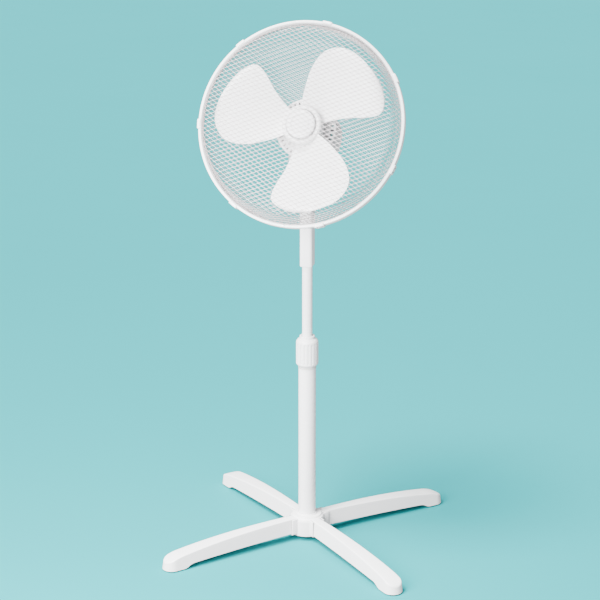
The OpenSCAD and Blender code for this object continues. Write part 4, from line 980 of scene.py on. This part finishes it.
# ---------------------------------------------------------------- floor, light and camera
FLOOR = (0.004, 0.24, 0.255)
FLOOR_BOUNCE = (0.17, 0.20, 0.205)
SKY_COLOR, SKY_STRENGTH = (0.93, 0.96, 1.0, 1), 0.8
TOP_WAY, TOP_STRENGTH, TOP_SPREAD = (-0.35, -0.45, 1.2), 14.0, 28
FRONT_AT, FRONT_AIM, FRONT_SIZE, FRONT_POWER = (-0.45, -1.35, 0.98), (0.0, -0.05, 0.76), 0.9, 110.0
CAMERA_AT, CAMERA_PITCH, CAMERA_YAW, CAMERA_LENS = (0.9273, -3.9411, 1.8279), 72.39, 13.46, 120


def backdrop_material():
    """Aqua paper. What it throws back at the object is greyer, as from a distant backdrop."""
    n = Nodes("floor_paper")
    c = np.array(FLOOR)
    tone = n.blend(n.spread(n.noise(0.8, 3), 0, 1), c * 0.985, np.clip(c * 1.015, 0, 1))
    seen = n.add("ShaderNodeLightPath").outputs["Is Camera Ray"]
    n.put(n.shader.inputs["Base Color"], n.blend(seen, FLOOR_BOUNCE, tone))
    n.put(n.shader.inputs["Roughness"], n.spread(n.noise(6, 3), 0.86, 0.94))
    n.put(n.shader.inputs["Normal"], n.bump(n.noise(700, 2), 0.03, 0.0003))
    n.shader.inputs["Specular IOR Level"].default_value = 0.1
    return n.material


floor = raw("floor", lathe([(0, 0), (4000, 0), (60000, 0)], 64))
floor.data.materials.append(backdrop_material())
floor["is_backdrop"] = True

world = bpy.data.worlds.new("studio")
SCENE.world = world
world.use_nodes = True
sky = world.node_tree.nodes["Background"]
sky.inputs["Color"].default_value = SKY_COLOR
sky.inputs["Strength"].default_value = SKY_STRENGTH


def soft_light(name, at, aim, size, energy):
    """A square soft box near the object."""
    data = bpy.data.lights.new(name, "AREA")
    data.shape = "RECTANGLE"
    data.size, data.size_y = size, size
    data.energy = energy
    ob = bpy.data.objects.new(name, data)
    SCENE.collection.objects.link(ob)
    ob.location = at
    ob.rotation_euler = (Vector(aim) - Vector(at)).to_track_quat("-Z", "Y").to_euler()


def far_light(name, way, strength, spread):
    """An even light from one way, as from a large distant window."""
    data = bpy.data.lights.new(name, "SUN")
    data.energy = strength
    data.angle = math.radians(spread)
    ob = bpy.data.objects.new(name, data)
    SCENE.collection.objects.link(ob)
    ob.rotation_euler = Vector(way).to_track_quat("Z", "Y").to_euler()


far_light("top", TOP_WAY, TOP_STRENGTH, TOP_SPREAD)
soft_light("front", FRONT_AT, FRONT_AIM, FRONT_SIZE, FRONT_POWER)

camera_data = bpy.data.cameras.new("camera")
camera_data.sensor_width = 36
camera_data.lens = CAMERA_LENS
camera = bpy.data.objects.new("camera", camera_data)
SCENE.collection.objects.link(camera)
camera.location = CAMERA_AT
camera.rotation_euler = (math.radians(CAMERA_PITCH), 0, math.radians(CAMERA_YAW))
SCENE.camera = camera

low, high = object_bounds()
